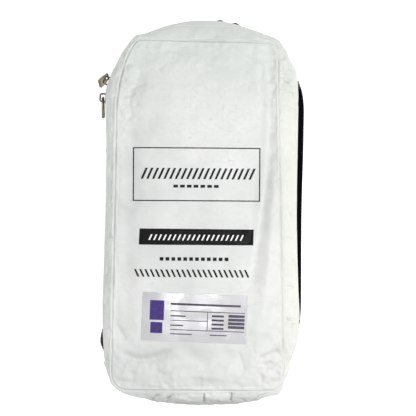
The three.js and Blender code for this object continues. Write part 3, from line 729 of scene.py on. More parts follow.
def rods(starts: Grid, ends: Grid, sideways: Grid, radii: tuple[float, float],
         sides: int = 6) -> tuple[Grid, Faces]:
    """Make many short rods with rounded ends, such as stitches or the turns of a coil.

    Args:
        starts: one end of each rod.
        ends: the other end.
        sideways: a direction across each rod.
        radii: half the rod's size along sideways, and square to it.
        sides: how many faces go round it.

    Returns:
        The rods' points and faces.
    """
    along = ends - starts
    length = np.linalg.norm(along, axis=1, keepdims=True)
    direction = along / length
    across = sideways - (sideways * direction).sum(1, keepdims=True) * direction
    across /= np.linalg.norm(across, axis=1, keepdims=True)
    square = np.cross(direction, across)
    rings = ((0.0, 0.45), (0.1, 0.85), (0.3, 1.0), (0.7, 1.0), (0.9, 0.85), (1.0, 0.45))
    angle = np.linspace(0, 2 * math.pi, sides, endpoint=False)
    points = []
    for share, size in rings:
        for turn in angle:
            points.append(starts + along * share + across * (radii[0] * size * math.cos(turn))
                          + square * (radii[1] * size * math.sin(turn)))
    grid = np.stack(points, axis=1)
    per_rod = len(rings) * sides
    faces = []
    for ring in range(len(rings) - 1):
        for i in range(sides):
            a, b = ring * sides + i, ring * sides + (i + 1) % sides
            faces.append([a, b, b + sides, a + sides])
    caps = [list(range(sides))[::-1], list(range(per_rod - sides, per_rod))]
    every = [tuple(corner + rod * per_rod for corner in face)
             for rod in range(len(starts)) for face in faces + caps]
    return grid.reshape(-1, 3), every


def resample(points: Grid, step: float) -> Grid:
    """Points spaced evenly along a line of points.

    Args:
        points: the line, one row for each point.
        step: about how far apart the new points are.

    Returns:
        The new points.
    """
    lengths = np.concatenate([[0], np.cumsum(np.linalg.norm(np.diff(points, axis=0), axis=1))])
    wanted = np.linspace(0, lengths[-1], max(2, int(round(lengths[-1] / step)) + 1))
    return np.stack([np.interp(wanted, lengths, points[:, i]) for i in range(points.shape[1])], axis=1)


@dataclass(frozen=True)
class Lockstitch:
    """A row of machine stitches in polyester thread: about 3 mm each, sunk a little into the sheet."""

    length: float = 2.4
    pitch: float = 3.0
    thread: float = 0.19

    def sew(self, name: str, line: Grid, normals: Grid) -> bpy.types.Object:
        """Sew stitches along a line.

        Args:
            name: the piece's name.
            line: points along the seam, in millimetres.
            normals: the sheet's outward direction at each.

        Returns:
            The stitches, as one piece.
        """
        both = resample(np.concatenate([line, normals], axis=1), self.pitch)
        points, facing = both[:, :3], both[:, 3:]
        middles = (points[:-1] + points[1:]) / 2
        direction = points[1:] - points[:-1]
        direction /= np.linalg.norm(direction, axis=1, keepdims=True)
        up = facing[:-1] + facing[1:]
        up /= np.linalg.norm(up, axis=1, keepdims=True)
        middles = middles + up * self.thread * 0.45
        half = direction * self.length / 2
        geometry = rods(middles - half, middles + half, up, (self.thread, self.thread))
        return new_piece(name, *geometry)


@dataclass(frozen=True)
class Finish:
    """A material's name and the record's slot that it belongs to."""

    name: str
    slot: str

    def start(self) -> tuple[bpy.types.Material, Adder, bpy.types.NodeSocket]:
        """Make an empty material.

        Returns:
            The material, a function that adds nodes to it, and the object coordinates in metres.
        """
        material = bpy.data.materials.new(self.name)
        material.use_nodes = True
        material.node_tree.nodes.clear()
        add = partial(add_node, material.node_tree)
        return material, add, add("TexCoord").outputs["Object"]

    def close(self, material: bpy.types.Material, shader: bpy.types.Node) -> bpy.types.Material:
        """Link the shader to the material's output, and hand the material back."""
        add_node(material.node_tree, "OutputMaterial", Surface=shader.outputs[0])
        return material

    def dress(self, *pieces: bpy.types.Object) -> None:
        """Put the finish on pieces.

        Args:
            pieces: the pieces.
        """
        material = bpy.data.materials.get(self.name) or self.build()
        for piece in pieces:
            piece.data.materials.clear()
            piece.data.materials.append(material)

    def build(self) -> bpy.types.Material:
        """Make the material."""
        raise NotImplementedError


@dataclass(frozen=True)
class SpunBondedSheet(Finish):
    """Flash-spun polyethylene sheet, like tough paper: white, matt, with swirling fibres and crumples."""

    light: str = "#d7d8d6"
    dull: str = "#c4c7c4"
    stain: str = "#a9aba4"
    roughness: float = 0.62  # scatters light widely, with a faint sheen at low angles
    fibre: float = 0.9  # mm between the fibres' swirls
    crumple: float = 5.0  # mm across a small facet
    tilt: float = 0.07  # rise per length of the small facets
    tints_and_painted_shade: tuple[tuple[str, float, float, float, str], ...] = (  # axis, from, to, the most, colour
        ("X", 0.06, 0.084, 0.35, "#e2e1d2"),  # handled and aged, along the right edge
        ("Y", 0.05, 0.15, 0.55, "#c3c8c2"),  # painted shade: greyer and darker towards the top
        ("Y", -0.166, -0.179, 0.9, "#a2a4a0"),  # painted shade: grey along the bottom end, where the wall turns under
    )
    stain_at: tuple[float, float, float] = (0.0042, 0.1315, 0.048)  # metres
    stain_reach: tuple[float, float] = (0.0004, 0.0017)  # metres over which the spot fades

    def build(self) -> bpy.types.Material:
        """Make the sheet's material.

        Returns:
            The material.
        """
        material, add, place = self.start()
        cloudy = add("TexNoise", Vector=place, Scale=14.0, Detail=3.0, Roughness=0.55)
        shade = ramp(add("ValToRGB", Fac=cloudy.outputs["Fac"]), ((0.3, self.dull), (0.62, self.light)))
        along = add("SeparateXYZ", Vector=place)
        # a yellow cast along the right edge, then painted shade towards the top and along the bottom end
        for axis, low, high, most, colour in self.tints_and_painted_shade:
            share = add("MapRange", {"interpolation_type": "SMOOTHSTEP"}, Value=along.outputs[axis],
                        From_Min=low, From_Max=high, To_Min=0.0, To_Max=most)
            shade = add("Mix", {"data_type": "RGBA"}, in0=share.outputs["Result"], in6=shade,
                        in7=linear(colour)).outputs[2]
        spot = add("VectorMath", {"operation": "DISTANCE"}, in0=place, in1=self.stain_at)
        spread = add("MapRange", {"interpolation_type": "SMOOTHSTEP"}, Value=spot.outputs["Value"],
                     From_Min=self.stain_reach[0], From_Max=self.stain_reach[1], To_Min=1.0, To_Max=0.0)
        tinted = add("Mix", {"data_type": "RGBA"}, in0=spread.outputs["Result"], in6=shade,
                     in7=linear(self.stain))
        facets = add("TexVoronoi", {"feature": "F1"}, Vector=place, Scale=1000 / self.crumple, Randomness=1.0)
        tilt = add("VectorMath", {"operation": "SUBTRACT"}, in0=facets.outputs["Color"], in1=(0.5, 0.5, 0.5))
        within = add("VectorMath", {"operation": "SUBTRACT"}, in0=place, in1=facets.outputs["Position"])
        tilted = add("VectorMath", {"operation": "DOT_PRODUCT"}, in0=tilt.outputs["Vector"],
                     in1=within.outputs["Vector"])
        patchy = add("MapRange", Value=cloudy.outputs["Fac"], From_Min=0.38, From_Max=0.62)
        creased = add("Math", {"operation": "MULTIPLY"}, in0=tilted.outputs["Value"],
                      in1=patchy.outputs["Result"])
        swirl = add("TexNoise", Vector=place, Scale=1000 / (4 * self.fibre), Detail=5.0, Roughness=0.6,
                    Distortion=1.6)
        fibres = add("TexVoronoi", {"feature": "DISTANCE_TO_EDGE"}, Vector=swirl.outputs["Color"], Scale=7.0)
        crumpled = add("Bump", Strength=1.0, Distance=self.tilt, Height=creased.outputs["Value"])
        webbed = add("Bump", Strength=0.35, Distance=0.00012, Height=fibres.outputs["Distance"],
                     Normal=crumpled.outputs["Normal"])
        fine = add("Bump", Strength=0.3, Distance=0.0001, Height=swirl.outputs["Fac"],
                   Normal=webbed.outputs["Normal"])
        shader = add("BsdfPrincipled", Base_Color=tinted.outputs[2], Roughness=self.roughness, IOR=1.51,
                     Specular_IOR_Level=0.35, Normal=fine.outputs["Normal"])
        return self.close(material, shader)


@dataclass(frozen=True)
class WovenTape(Finish):
    """Woven polyester zip tape in black: tiny ribs along the tape catch a little light."""

    colour: str = "#050506"
    fluff: str = "#0b0b0c"
    rib: float = 0.7  # mm between ribs, drawn a little coarse so that they show
    roughness: float = 0.85

    def build(self) -> bpy.types.Material:
        """Make the tape's material.

        Returns:
            The material.
        """
        material, add, place = self.start()
        cloth = add("UVMap", {"uv_map": "cloth"})
        ribs = add("TexWave", {"bands_direction": "Y"}, Vector=cloth.outputs["UV"],
                   Scale=1000 / self.rib / WAVE_BANDS, Distortion=0.6)
        picks = add("TexWave", {"bands_direction": "DIAGONAL"}, Vector=cloth.outputs["UV"],
                    Scale=1000 / self.rib / WAVE_BANDS)
        lint = add("TexNoise", Vector=place, Scale=300.0, Detail=3.0)
        shade = ramp(add("ValToRGB", Fac=lint.outputs["Fac"]), ((0.35, self.colour), (0.75, self.fluff)))
        first = add("Bump", Strength=0.6, Distance=0.00015, Height=ribs.outputs["Fac"])
        second = add("Bump", Strength=0.4, Distance=0.0001, Height=picks.outputs["Fac"],
                     Normal=first.outputs["Normal"])
        shader = add("BsdfPrincipled", Base_Color=shade, Roughness=self.roughness, IOR=1.55,
                     Specular_IOR_Level=0.01, Normal=second.outputs["Normal"])
        return self.close(material, shader)


@dataclass(frozen=True)
class NylonCoil(Finish):
    """Extruded nylon filament in black, wound into a coil: smooth, with small bright glints on each turn."""

    colour: str = "#060607"
    roughness: float = 0.5

    def build(self) -> bpy.types.Material:
        """Make the coil's material.

        Returns:
            The material.
        """
        material, add, place = self.start()
        scuffs = add("TexNoise", Vector=place, Scale=700.0, Detail=3.0)
        rough = add("MapRange", Value=scuffs.outputs["Fac"], To_Min=self.roughness - 0.06,
                    To_Max=self.roughness + 0.14)
        shader = add("BsdfPrincipled", Base_Color=linear(self.colour), Roughness=rough.outputs["Result"],
                     IOR=1.53, Specular_IOR_Level=0.02)
        return self.close(material, shader)


@dataclass(frozen=True)
class AntiqueNickel(Finish):
    """Die-cast zinc, tumbled and antique nickel plated: warm dark grey hollows, bright where it rubs."""

    bright: str = "#9d9680"
    dark: str = "#38342a"
    roughness: float = 0.33
    grain: float = 0.8  # mm across a tumbled mark

    def build(self) -> bpy.types.Material:
        """Make the plated metal.

        Returns:
            The material.
        """
        material, add, place = self.start()
        marks = add("TexNoise", Vector=place, Scale=1000 / (3 * self.grain), Detail=3.0, Roughness=0.5)
        plate = ramp(add("ValToRGB", Fac=marks.outputs["Fac"]), ((0.3, self.dark), (0.78, self.bright)))
        rough = add("MapRange", Value=marks.outputs["Fac"], To_Min=self.roughness + 0.15,
                    To_Max=self.roughness - 0.08)
        dents = add("Bump", Strength=0.25, Distance=0.00012, Height=marks.outputs["Fac"])
        shader = add("BsdfPrincipled", Base_Color=plate, Metallic=1.0, Roughness=rough.outputs["Result"],
                     Normal=dents.outputs["Normal"])
        return self.close(material, shader)


@dataclass(frozen=True)
class MetallisedFilm(Finish):
    """Silver-grey polyester label film, laminated glossy: it mirrors the lights softly, with ripples."""

    dull: str = "#cbcacd"
    light: str = "#d8d7d9"
    metallic: float = 0.35
    roughness: float = 0.2
    ripple: float = 14.0  # mm between ripples

    def build(self) -> bpy.types.Material:
        """Make the label film.

        Returns:
            The material.
        """
        material, add, place = self.start()
        waves = add("TexNoise", Vector=place, Scale=1000 / (2 * self.ripple), Detail=2.0)
        ripples = add("Bump", Strength=0.25, Distance=0.0008, Height=waves.outputs["Fac"])
        shade = ramp(add("ValToRGB", Fac=waves.outputs["Fac"]), ((0.3, self.dull), (0.7, self.light)))
        shader = add("BsdfPrincipled", Base_Color=shade, Metallic=self.metallic, Roughness=self.roughness,
                     IOR=1.6, Coat_Weight=0.4, Coat_Roughness=0.08, Normal=ripples.outputs["Normal"])
        return self.close(material, shader)


@dataclass(frozen=True)
class PrintingInk(Finish):
    """Screen-printed ink: dense and matt, with the sheet's fibres showing through as faint mottling."""

    colour: str = "#0a0a0b"
    mottle: str = "#161618"
    roughness: float = 0.55

    def build(self) -> bpy.types.Material:
        """Make the ink.

        Returns:
            The material.
        """
        material, add, place = self.start()
        specks = add("TexNoise", Vector=place, Scale=900.0, Detail=4.0)
        shade = ramp(add("ValToRGB", Fac=specks.outputs["Fac"]), ((0.45, self.colour), (0.8, self.mottle)))
        grain = add("Bump", Strength=0.2, Distance=0.00008, Height=specks.outputs["Fac"])
        shader = add("BsdfPrincipled", Base_Color=shade, Roughness=self.roughness, IOR=1.5,
                     Specular_IOR_Level=0.15, Normal=grain.outputs["Normal"])
        return self.close(material, shader)


@dataclass(frozen=True)
class SpunThread(Finish):
    """Spun polyester sewing thread: two plies twisted, soft and matt."""

    colour: str = "#dfe0dc"
    twist: float = 0.6  # mm between turns of the ply, drawn coarse so that it shows
    fuzz: float = 0.2  # how much its loose fibres catch the light

    def build(self) -> bpy.types.Material:
        """Make the thread.

        Returns:
            The material.
        """
        material, add, place = self.start()
        plies = add("TexWave", {"bands_direction": "DIAGONAL"}, Vector=place,
                    Scale=1000 / self.twist / WAVE_BANDS, Distortion=0.4)
        twist = add("Bump", Strength=0.5, Distance=0.0001, Height=plies.outputs["Fac"])
        shader = add("BsdfPrincipled", Base_Color=linear(self.colour), Roughness=0.75, Sheen_Weight=self.fuzz,
                     IOR=1.5, Specular_IOR_Level=self.fuzz, Normal=twist.outputs["Normal"])
        return self.close(material, shader)


@dataclass(frozen=True)
class OpalTable(Finish):
    """White opal acrylic, matt above and lit evenly from beneath: a bright floor with next to no shadow."""

    colour: str = "#fafafa"
    glow: float = 0.56

    def build(self) -> bpy.types.Material:
        """Make the floor's acrylic.

        Returns:
            The material.
        """
        material, add, place = self.start()
        grain = add("TexNoise", Vector=place, Scale=900.0, Detail=3.0)
        tooth = add("Bump", Strength=0.05, Distance=0.0001, Height=grain.outputs["Fac"])
        shader = add("BsdfPrincipled", Base_Color=linear(self.colour), Roughness=0.9, IOR=1.49,
                     Specular_IOR_Level=0.2, Emission_Color=linear(self.colour), Emission_Strength=self.glow,
                     Normal=tooth.outputs["Normal"])
        return self.close(material, shader)


SHEET = SpunBondedSheet("white spun-bonded polyethylene sheet", "white_sheet")
TAPE = WovenTape("black woven polyester tape", "zip_tape")
COIL = NylonCoil("black nylon coil", "zip_coil")
NICKEL = AntiqueNickel("antique nickel plated zinc", "zip_metal")
FILM = MetallisedFilm("silver grey label film", "label_film")
BLACK_INK = PrintingInk("black screen ink", "white_sheet")
GREY_INK = PrintingInk("dark grey screen ink", "white_sheet", "#1c1c1e", "#2c2c2e")
WHITE_INK = PrintingInk("white screen ink", "white_sheet", "#e6e7e5", "#dcdedb")
LABEL_INK = PrintingInk("grey label ink", "label_film", "#4f4a58", "#625d6b", 0.35)
PURPLE_INK = PrintingInk("purple label ink", "label_film", "#43346f", "#54458a", 0.35)
THREAD = SpunThread("white spun polyester thread", "white_sheet")
BLACK_THREAD = SpunThread("black spun polyester thread", "zip_tape", "#060607", 0.6, 0.0)
FLOOR = OpalTable("white opal acrylic", "")


def graded(length: float, fine: float, coarse: float, band: float) -> Grid:
    """Shares from 0 to 1 along a length, closely spaced within a band at each end.

    Args:
        length: the whole length, in millimetres.
        fine: the spacing at the ends.
        coarse: the spacing in the middle.
        band: how far in the close spacing reaches.

    Returns:
        The shares.
    """
    places = [0.0]
    while places[-1] < length / 2:
        t = min(1.0, places[-1] / band)
        places.append(places[-1] + fine + (coarse - fine) * t * t)
    half = np.array(places) / places[-1] / 2
    return np.concatenate([half, 1 - half[-2::-1]])


@dataclass
class FrontPanel:
    """The domed front panel."""

    form: CaseForm
    face: PanelFace
    spacing: float = 1.15
    edge_spacing: float = 0.4
    edge_band: float = 9.0
    thinness: float = 0.6  # the drawn sheet's thickness as a share of the solid's
    flat: tuple[float, float] = (0.168, 0.332)  # metres, the rectangle it is cut from

    def build(self) -> list[bpy.types.Object]:
        """Build and dress the panel's pieces.

        Returns:
            The new pieces.
        """
        return [self._sheet()]

    def _plan(self, u: Grid, v: Grid) -> Grid:
        """Places in plan from shares across and up, between the seam's four sides.

        Args:
            u: shares across.
            v: shares up.

        Returns:
            The places.
        """
        form = self.form

        def side(which: Side, share: Grid) -> Grid:
            """A side's points at shares of it."""
            start, length = form.sides[which]
            return form.seam_point(start + share * length)

        left, right = side(Side.LEFT, v), side(Side.RIGHT, 1 - v)
        low, high = side(Side.BOTTOM, 1 - u), side(Side.TOP, u)
        corners = [form.seam_point(np.array(form.place(*where))) for where in
                   ((Side.LEFT, 0), (Side.RIGHT, 1), (Side.TOP, 0), (Side.TOP, 1))]
        u_, v_ = u[..., None], v[..., None]
        sides = left * (1 - u_) + right * u_
        ends = low * (1 - v_) + high * v_
        bottom, top = corners[0] * (1 - u_) + corners[1] * u_, corners[2] * (1 - u_) + corners[3] * u_
        return sides + ends - (bottom * (1 - v_) + top * v_)

    def _sheet(self) -> bpy.types.Object:
        """The panel's sheet, as a thin closed shell.

        Returns:
            The new piece.
        """
        u, v = np.meshgrid(*(graded(length, self.edge_spacing, self.spacing, self.edge_band)
                             for length in (self.form.bottom_width, self.form.length)))
        plan = self._plan(u, v)
        x, y = plan[..., 0], plan[..., 1]
        height = self.face.height(x, y)
        outer = np.stack([x, y, height], axis=-1)
        inner = np.stack([x, y, height - self.form.sheet * self.thinness], axis=-1)
        piece = new_piece("front_panel_sheet", *shell(outer, inner))
        SHEET.dress(piece)
        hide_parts("front_panel")
        return piece


@dataclass
class WallStrip:
    """A strip of the side wall between two places round the seam, and its profiles once they are shaped."""

    form: CaseForm
    start: float
    end: float
    spacing: float = 1.15
    thickness: float = 0.9
    at: Grid = field(init=False)
    inside: Grid = field(init=False)
    out: Grid = field(init=False)
    height: Grid = field(init=False)

    def __post_init__(self) -> None:
        """Space the stations, the distances round the seam at which the strip has a column of points."""
        self.at = np.linspace(self.start, self.end, max(3, int((self.end - self.start) / self.spacing)))
        away = np.minimum(self.at - self.start, self.end - self.at)
        self.inside = smoothstep(0, 3, away)[None]

    def quarter(self, start: tuple[Grid, Grid], end: tuple[Grid, Grid], rows: int) -> tuple[Grid, Grid]:
        """A quarter turn of the wall's profile, as rows of how far out and how high.

        Args:
            start: how far out and how high it starts at each station.
            end: the same for its end.
            rows: how many rows there are.

        Returns:
            How far out and how high each point is.
        """
        bulge, share = self.form.bulge, np.linspace(0, 1, rows)[:, None]
        out = (1 - bulge) * share + bulge * np.sin(share * math.pi / 2)
        down = (1 - bulge) * share + bulge * (1 - np.cos(share * math.pi / 2))
        return (start[0][None] + (end[0] - start[0])[None] * out,
                start[1][None] + (end[1] - start[1])[None] * down)

    def down(self) -> Grid:
        """How far down its profile each point is."""
        steps = np.hypot(np.diff(self.out, axis=0), np.diff(self.height, axis=0))
        return np.concatenate([np.zeros((1, self.out.shape[1])), np.cumsum(steps, axis=0)])

    def push(self, amount: Grid) -> None:
        """Push the profiles outwards, square to themselves.

        Args:
            amount: how far each point moves.
        """
        run, rise = np.gradient(self.out, axis=0), np.gradient(self.height, axis=0)
        length = np.maximum(np.hypot(run, rise), 1e-6)
        self.out, self.height = self.out - amount * rise / length, self.height + amount * run / length

    def line(self, down: float) -> tuple[Grid, Grid]:
        """A line along the strip, so far down its face.

        Args:
            down: how far down from its upper edge, or up from its lower edge if negative.

        Returns:
            The line's points, and the face's outward direction at each.
        """
        depth = self.down()
        wanted = down if down >= 0 else depth[-1].mean() + down
        row = np.clip((depth < wanted).sum(0), 1, len(depth) - 1)
        column = np.arange(len(self.at))
        low, high = depth[row - 1, column], depth[row, column]
        t = np.clip((wanted - low) / np.maximum(high - low, 1e-6), 0, 1)
        out = self.out[row - 1, column] * (1 - t) + self.out[row, column] * t
        height = self.height[row - 1, column] * (1 - t) + self.height[row, column] * t
        run = self.out[row, column] - self.out[row - 1, column]
        rise = self.height[row, column] - self.height[row - 1, column]
        facing = np.concatenate([self.form.outward(self.at) * -rise[:, None], run[:, None]], axis=1)
        facing /= np.linalg.norm(facing, axis=1, keepdims=True)
        return self.form.in_space(self.at, out, height), facing

    def sheet(self, name: str, replaced: str, finish: Finish) -> bpy.types.Object:
        """Make the strip's sheet from its profiles.

        Args:
            name: the piece's name.
            replaced: the solid that the piece stands for.
            finish: its material.

        Returns:
            The new piece.
        """
        stations = np.broadcast_to(self.at, self.out.shape)
        outer = self.form.in_space(stations, self.out, self.height)
        kept, down = (self.out, self.height), self.down()
        self.push(np.full(self.out.shape, -self.thickness))
        inner = self.form.in_space(stations, self.out, self.height)
        self.out, self.height = kept
        cuts = np.stack([stations * MM, down * MM], axis=-1)
        piece = new_piece(name, *shell(outer, inner), cuts=np.concatenate([cuts, cuts]))
        finish.dress(piece)
        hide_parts(replaced)
        return piece


@dataclass(frozen=True)
class WallCrease:
    """A sharp crease of the side wall: its line as seen from above, how far it rises and how wide it is."""

    points: tuple[tuple[float, float], ...]
    rise: float
    width: float = 0.9


def _across_right(y: float, rise: float, near: float, far: float) -> WallCrease:
    """A short crease across the right gusset at a height up the case."""
    return WallCrease(((near, y + 0.6), (far, y - 0.8)), 1.5 * rise, 0.6)


WALL_CREASES: tuple[WallCrease, ...] = (
    *(_across_right(*where) for where in (
        (18.5, 0.5, 80, 90), (-0.3, -0.9, 80, 90), (-2.4, 0.5, 80, 90), (-20.8, -0.8, 72, 80),
        (-23, 0.6, 73, 84), (-40.6, -0.9, 80, 92), (-43.5, 0.6, 80, 92), (-47.5, -0.7, 80, 92),
        (-58, -0.6, 73, 84), (-66, 0.7, 76, 92), (-68.5, -0.8, 76, 92), (-82.8, -0.8, 78, 92),
        (-98.6, -1.3, 72, 92), (-101.5, 0.8, 74, 92))),
    WallCrease(((69, 133), (80, 121)), 0.8),
    WallCrease(((70, 127), (84, 118)), -0.9),
    WallCrease(((71, 121), (86, 113)), 0.9),
    WallCrease(((72, 115), (87, 110)), -1.0),
    WallCrease(((72, 110), (88, 104)), 0.8),
    WallCrease(((76, 128), (86, 106), (89, 98)), -0.8, 1.2),
    WallCrease(((-79, 118), (-88, 112)), 0.8),
    WallCrease(((-80, 108), (-89, 104)), -0.8),
    WallCrease(((-84, 96), (-87, 60), (-87.5, 20)), 0.5, 1.6),
    WallCrease(((-81, 66), (-90, 63)), -0.7),
    WallCrease(((-82, 31), (-90, 28)), 0.5),
    WallCrease(((-85, -20), (-92, -24)), -0.6),
    WallCrease(((-85, -58), (-92, -61)), 0.6),
    WallCrease(((-85, -104), (-93, -108)), -0.9),
    WallCrease(((-84, -128), (-88, -140)), 0.7, 1.3),
    WallCrease(((-50, -174.5), (-39.6, -167)), -2.4, 1.1),
    WallCrease(((-44, -173.5), (-34, -167)), 1.6, 1.3),
    WallCrease(((-35.5, -174.5), (-26, -166.5)), -2.4, 1.1),
    WallCrease(((-77, -159), (-65, -167), (-39.6, -173), (-21, -175.2)), 1.7, 1.2),
    WallCrease(((-25, -169.5), (-12, -172.5), (0, -175)), 1.6, 1.3),
    WallCrease(((1, -165), (0.6, -178)), -2.4, 0.8),
    WallCrease(((4, -169), (22, -173), (25, -176)), 1.4, 1.3),
    WallCrease(((26, -164), (25.6, -177)), -2.2, 0.8),
    WallCrease(((29, -170), (42, -176)), -1.6, 1.2),
    WallCrease(((42.5, -176.5), (57.3, -167), (71, -160)), -2.2, 1.2),
    WallCrease(((46, -175), (60, -168), (73, -160)), 1.5, 1.4),
    WallCrease(((80, -150), (86, -128), (90, -112)), -0.9, 1.6),
)


# where the wall is crumpled more or less: the side, the share along it, the reach in millimetres and how much
ROUGH_PLACES: tuple[tuple[Side, float, float, float], ...] = (
    (Side.RIGHT, 0.06, 26, 1.0), (Side.RIGHT, 0.95, 42, 0.9), (Side.BOTTOM, 0.5, 60, 0.3),
    (Side.LEFT, 0.97, 24, 0.7), (Side.TOP, 0.45, 60, -0.3),
)


@dataclass
class SideWall:
    """The gussets: three in front of the zip, one behind it, and one at the bottom where there is no zip."""

    form: CaseForm
    face: PanelFace
    seam_out: float = -0.02
    topstitch: float = 2.6
    hem: float = 3.2
    least_height: float = 0.35
    stitch: Lockstitch = Lockstitch()
    fine: FacetField = FacetField(5, 6.0, 0.3, 1.2)
    middle: FacetField = FacetField(6, 12.0, 0.2, 1.5)
    creases: list[tuple[Grid, WallCrease]] = field(init=False)

    def __post_init__(self) -> None:
        """Place the creases on the wall."""
        self.creases = [(self._on_wall(np.array(crease.points)), crease) for crease in WALL_CREASES]

    def build(self) -> list[bpy.types.Object]:
        """Build and dress the gussets and their stitching.

        Returns:
            The new pieces.
        """
        form = self.form
        zip_start = form.place(Side.LEFT, form.zip_end_left)
        left_join = form.place(Side.LEFT, form.join_left)
        right_join = form.ring_length + form.place(Side.RIGHT, form.join_right)
        zip_end = form.ring_length + form.place(Side.RIGHT, form.zip_end_right)
        return [
            *self._front("left", zip_start, left_join),
            *self._front("top", left_join, right_join),
            *self._front("right", right_join, zip_end),
            *self._back(zip_start, zip_end),
            *self._bottom(zip_end - form.ring_length, zip_start),
        ]

    def _on_wall(self, points: Grid) -> Grid:
        """Places in plan as distances round the seam and how far out from it.

        Args:
            points: the places, one row each.

        Returns:
            One row for each.
        """
        ring = self.form.ring
        gaps = np.linalg.norm(points[:, None] - ring[None], axis=-1)
        return np.stack([self.form.ring_at[gaps.argmin(1)], gaps.min(1)], axis=1)

    def _upper(self, strip: WallStrip, rows: int) -> tuple[Grid, Grid]:
        """The upper wall's profiles, from the front seam down to the zip.

        Args:
            strip: the strip they belong to.
            rows: how many rows there are.

        Returns:
            How far out and how high each point is.
        """
        form, at = self.form, strip.at
        seam = form.seam_point(at)
        start = (np.full_like(at, self.seam_out), form.broad_height(seam[:, 0], seam[:, 1]))
        return strip.quarter(start, (form.stand(at), np.full_like(at, form.front_edge)), rows)

    def _lower(self, strip: WallStrip, rows: int) -> tuple[Grid, Grid]:
        """The lower wall's profiles, from the zip down to the back seam.

        Args:
            strip: the strip they belong to.
            rows: how many rows there are.

        Returns:
            How far out and how high each point is.
        """
        form, at = self.form, strip.at
        foot = (form.back_stand(at) - form.back_tuck, np.full_like(at, form.sheet + 0.1))
        out, height = strip.quarter(foot, (form.back_stand(at), np.full_like(at, form.back_edge)), rows)
        return out[::-1], height[::-1]

    def _crumple(self, strip: WallStrip, calm: Grid, inward: Grid) -> None:
        """Crumple a strip: facets everywhere, and the creases.

        Args:
            strip: the strip, whose profiles are pushed in and out.
            calm: 0 where the sheet is held still, 1 where it is free.
            inward: 0 where the sheet can't go inwards, as over the tape, 1 where it can.
        """
        form, down = self.form, strip.down()
        ring = form.ring_length
        at = np.broadcast_to(strip.at, down.shape) % ring
        rough = np.full(down.shape, 0.5)
        for side, share, width, amount in ROUGH_PLACES:
            away = np.abs((at - form.place(side, share) + ring / 2) % ring - ring / 2)
            rough = rough + amount * np.exp(-((away / width) ** 2))
        patches = 0.4 + 1.2 * soft_noise(8, 13, at, down)
        push = self.fine.height(at, down) * rough * patches
        push = push + self.middle.height(at, down) * (0.5 + 0.5 * rough)
        above = smoothstep(form.zip_height - 2, form.zip_height + 4, strip.height)
        above = above * (0.2 + 0.8 * smoothstep(1.02, 0.78, strip.out / np.maximum(form.stand(at), 1)))
        for line, crease in self.creases:
            near = (line[0, 0] - at + ring / 2) % ring - ring / 2
            away, share = line_distance(line - [line[0, 0], 0], -near, strip.out)
            fade = np.clip(np.minimum(share, 1 - share) * 5, 0.25, 1.0)
            push = push + 1.3 * crease.rise * above * fade * np.exp(-away / crease.width)
        strip.push(np.where(push < 0, push * inward, push) * calm)

    def _edge(self, strip: WallStrip) -> None:
        """Turn the edge down into the front seam and raise the soft roll of the allowance beside it."""
        roll = 0.5 * bump_at(strip.out, 1.5, 0.8) - self.face.groove * np.exp(-((strip.out / 0.9) ** 2))
        strip.height = strip.height + roll - 0.5 * bump_at(strip.down(), self.topstitch, 0.5)

    def _sew(self, strip: WallStrip, name: str, down: float) -> bpy.types.Object:
        """A row of stitches along a strip, so far down its face.

        Args:
            strip: the strip.
            name: the piece's name.
            down: how far down, or up from below if negative.

        Returns:
            The new piece.
        """
        stitches = self.stitch.sew(name, *strip.line(down))
        THREAD.dress(stitches)
        return stitches

    def _front(self, which: str, start: float, end: float) -> list[bpy.types.Object]:
        """One piece of the front gusset with its stitching.

        Args:
            which: left, top or right.
            start: where it starts, as a distance round the seam.
            end: where it ends.

        Returns:
            The new pieces.
        """
        strip = WallStrip(self.form, start, end, spacing=0.8)
        rows = 25
        strip.out, strip.height = self._upper(strip, rows)
        share = np.linspace(0, 1, rows)[:, None]
        strip.out = strip.out - self.form.pleat(strip.at[None], share / 2)
        calm = smoothstep(0, 0.16, share) * smoothstep(1.05, 0.75, share) * (0.3 + 0.7 * strip.inside)
        self._crumple(strip, calm, smoothstep(0.78, 0.5, share))
        self._edge(strip)
        strip.push(-0.35 * (1 - strip.inside) * smoothstep(0, 0.1, share) - 0.15 * bump_at(share, 0.86, 0.03))
        piece = strip.sheet(f"front_gusset_{which}_sheet", f"front_gusset_{which}", SHEET)
        return [piece, self._sew(strip, f"front_gusset_{which}_topstitch", self.topstitch),
                self._sew(strip, f"front_gusset_{which}_hem_stitches", -self.hem)]

    def _back(self, start: float, end: float) -> list[bpy.types.Object]:
        """The back gusset with its hem's stitching.

        Args:
            start: where it starts, as a distance round the seam.
            end: where it ends.

        Returns:
            The new pieces.
        """
        strip = WallStrip(self.form, start + 0.1, end - 0.1, spacing=1.6)
        rows = 16
        strip.out, strip.height = self._lower(strip, rows)
        share = np.linspace(0, 1, rows)[:, None]
        strip.out = strip.out - self.form.pleat(strip.at[None], 0.5 + share / 2)
        self._crumple(strip, 0.7 * smoothstep(0, 0.2, share) * smoothstep(1.0, 0.7, share), 1 - 0.8 * share)
        strip.height = np.maximum(strip.height, self.least_height)
        piece = strip.sheet("back_gusset_sheet", "back_gusset", SHEET)
        return [piece, self._sew(strip, "back_gusset_hem_stitches", self.hem)]

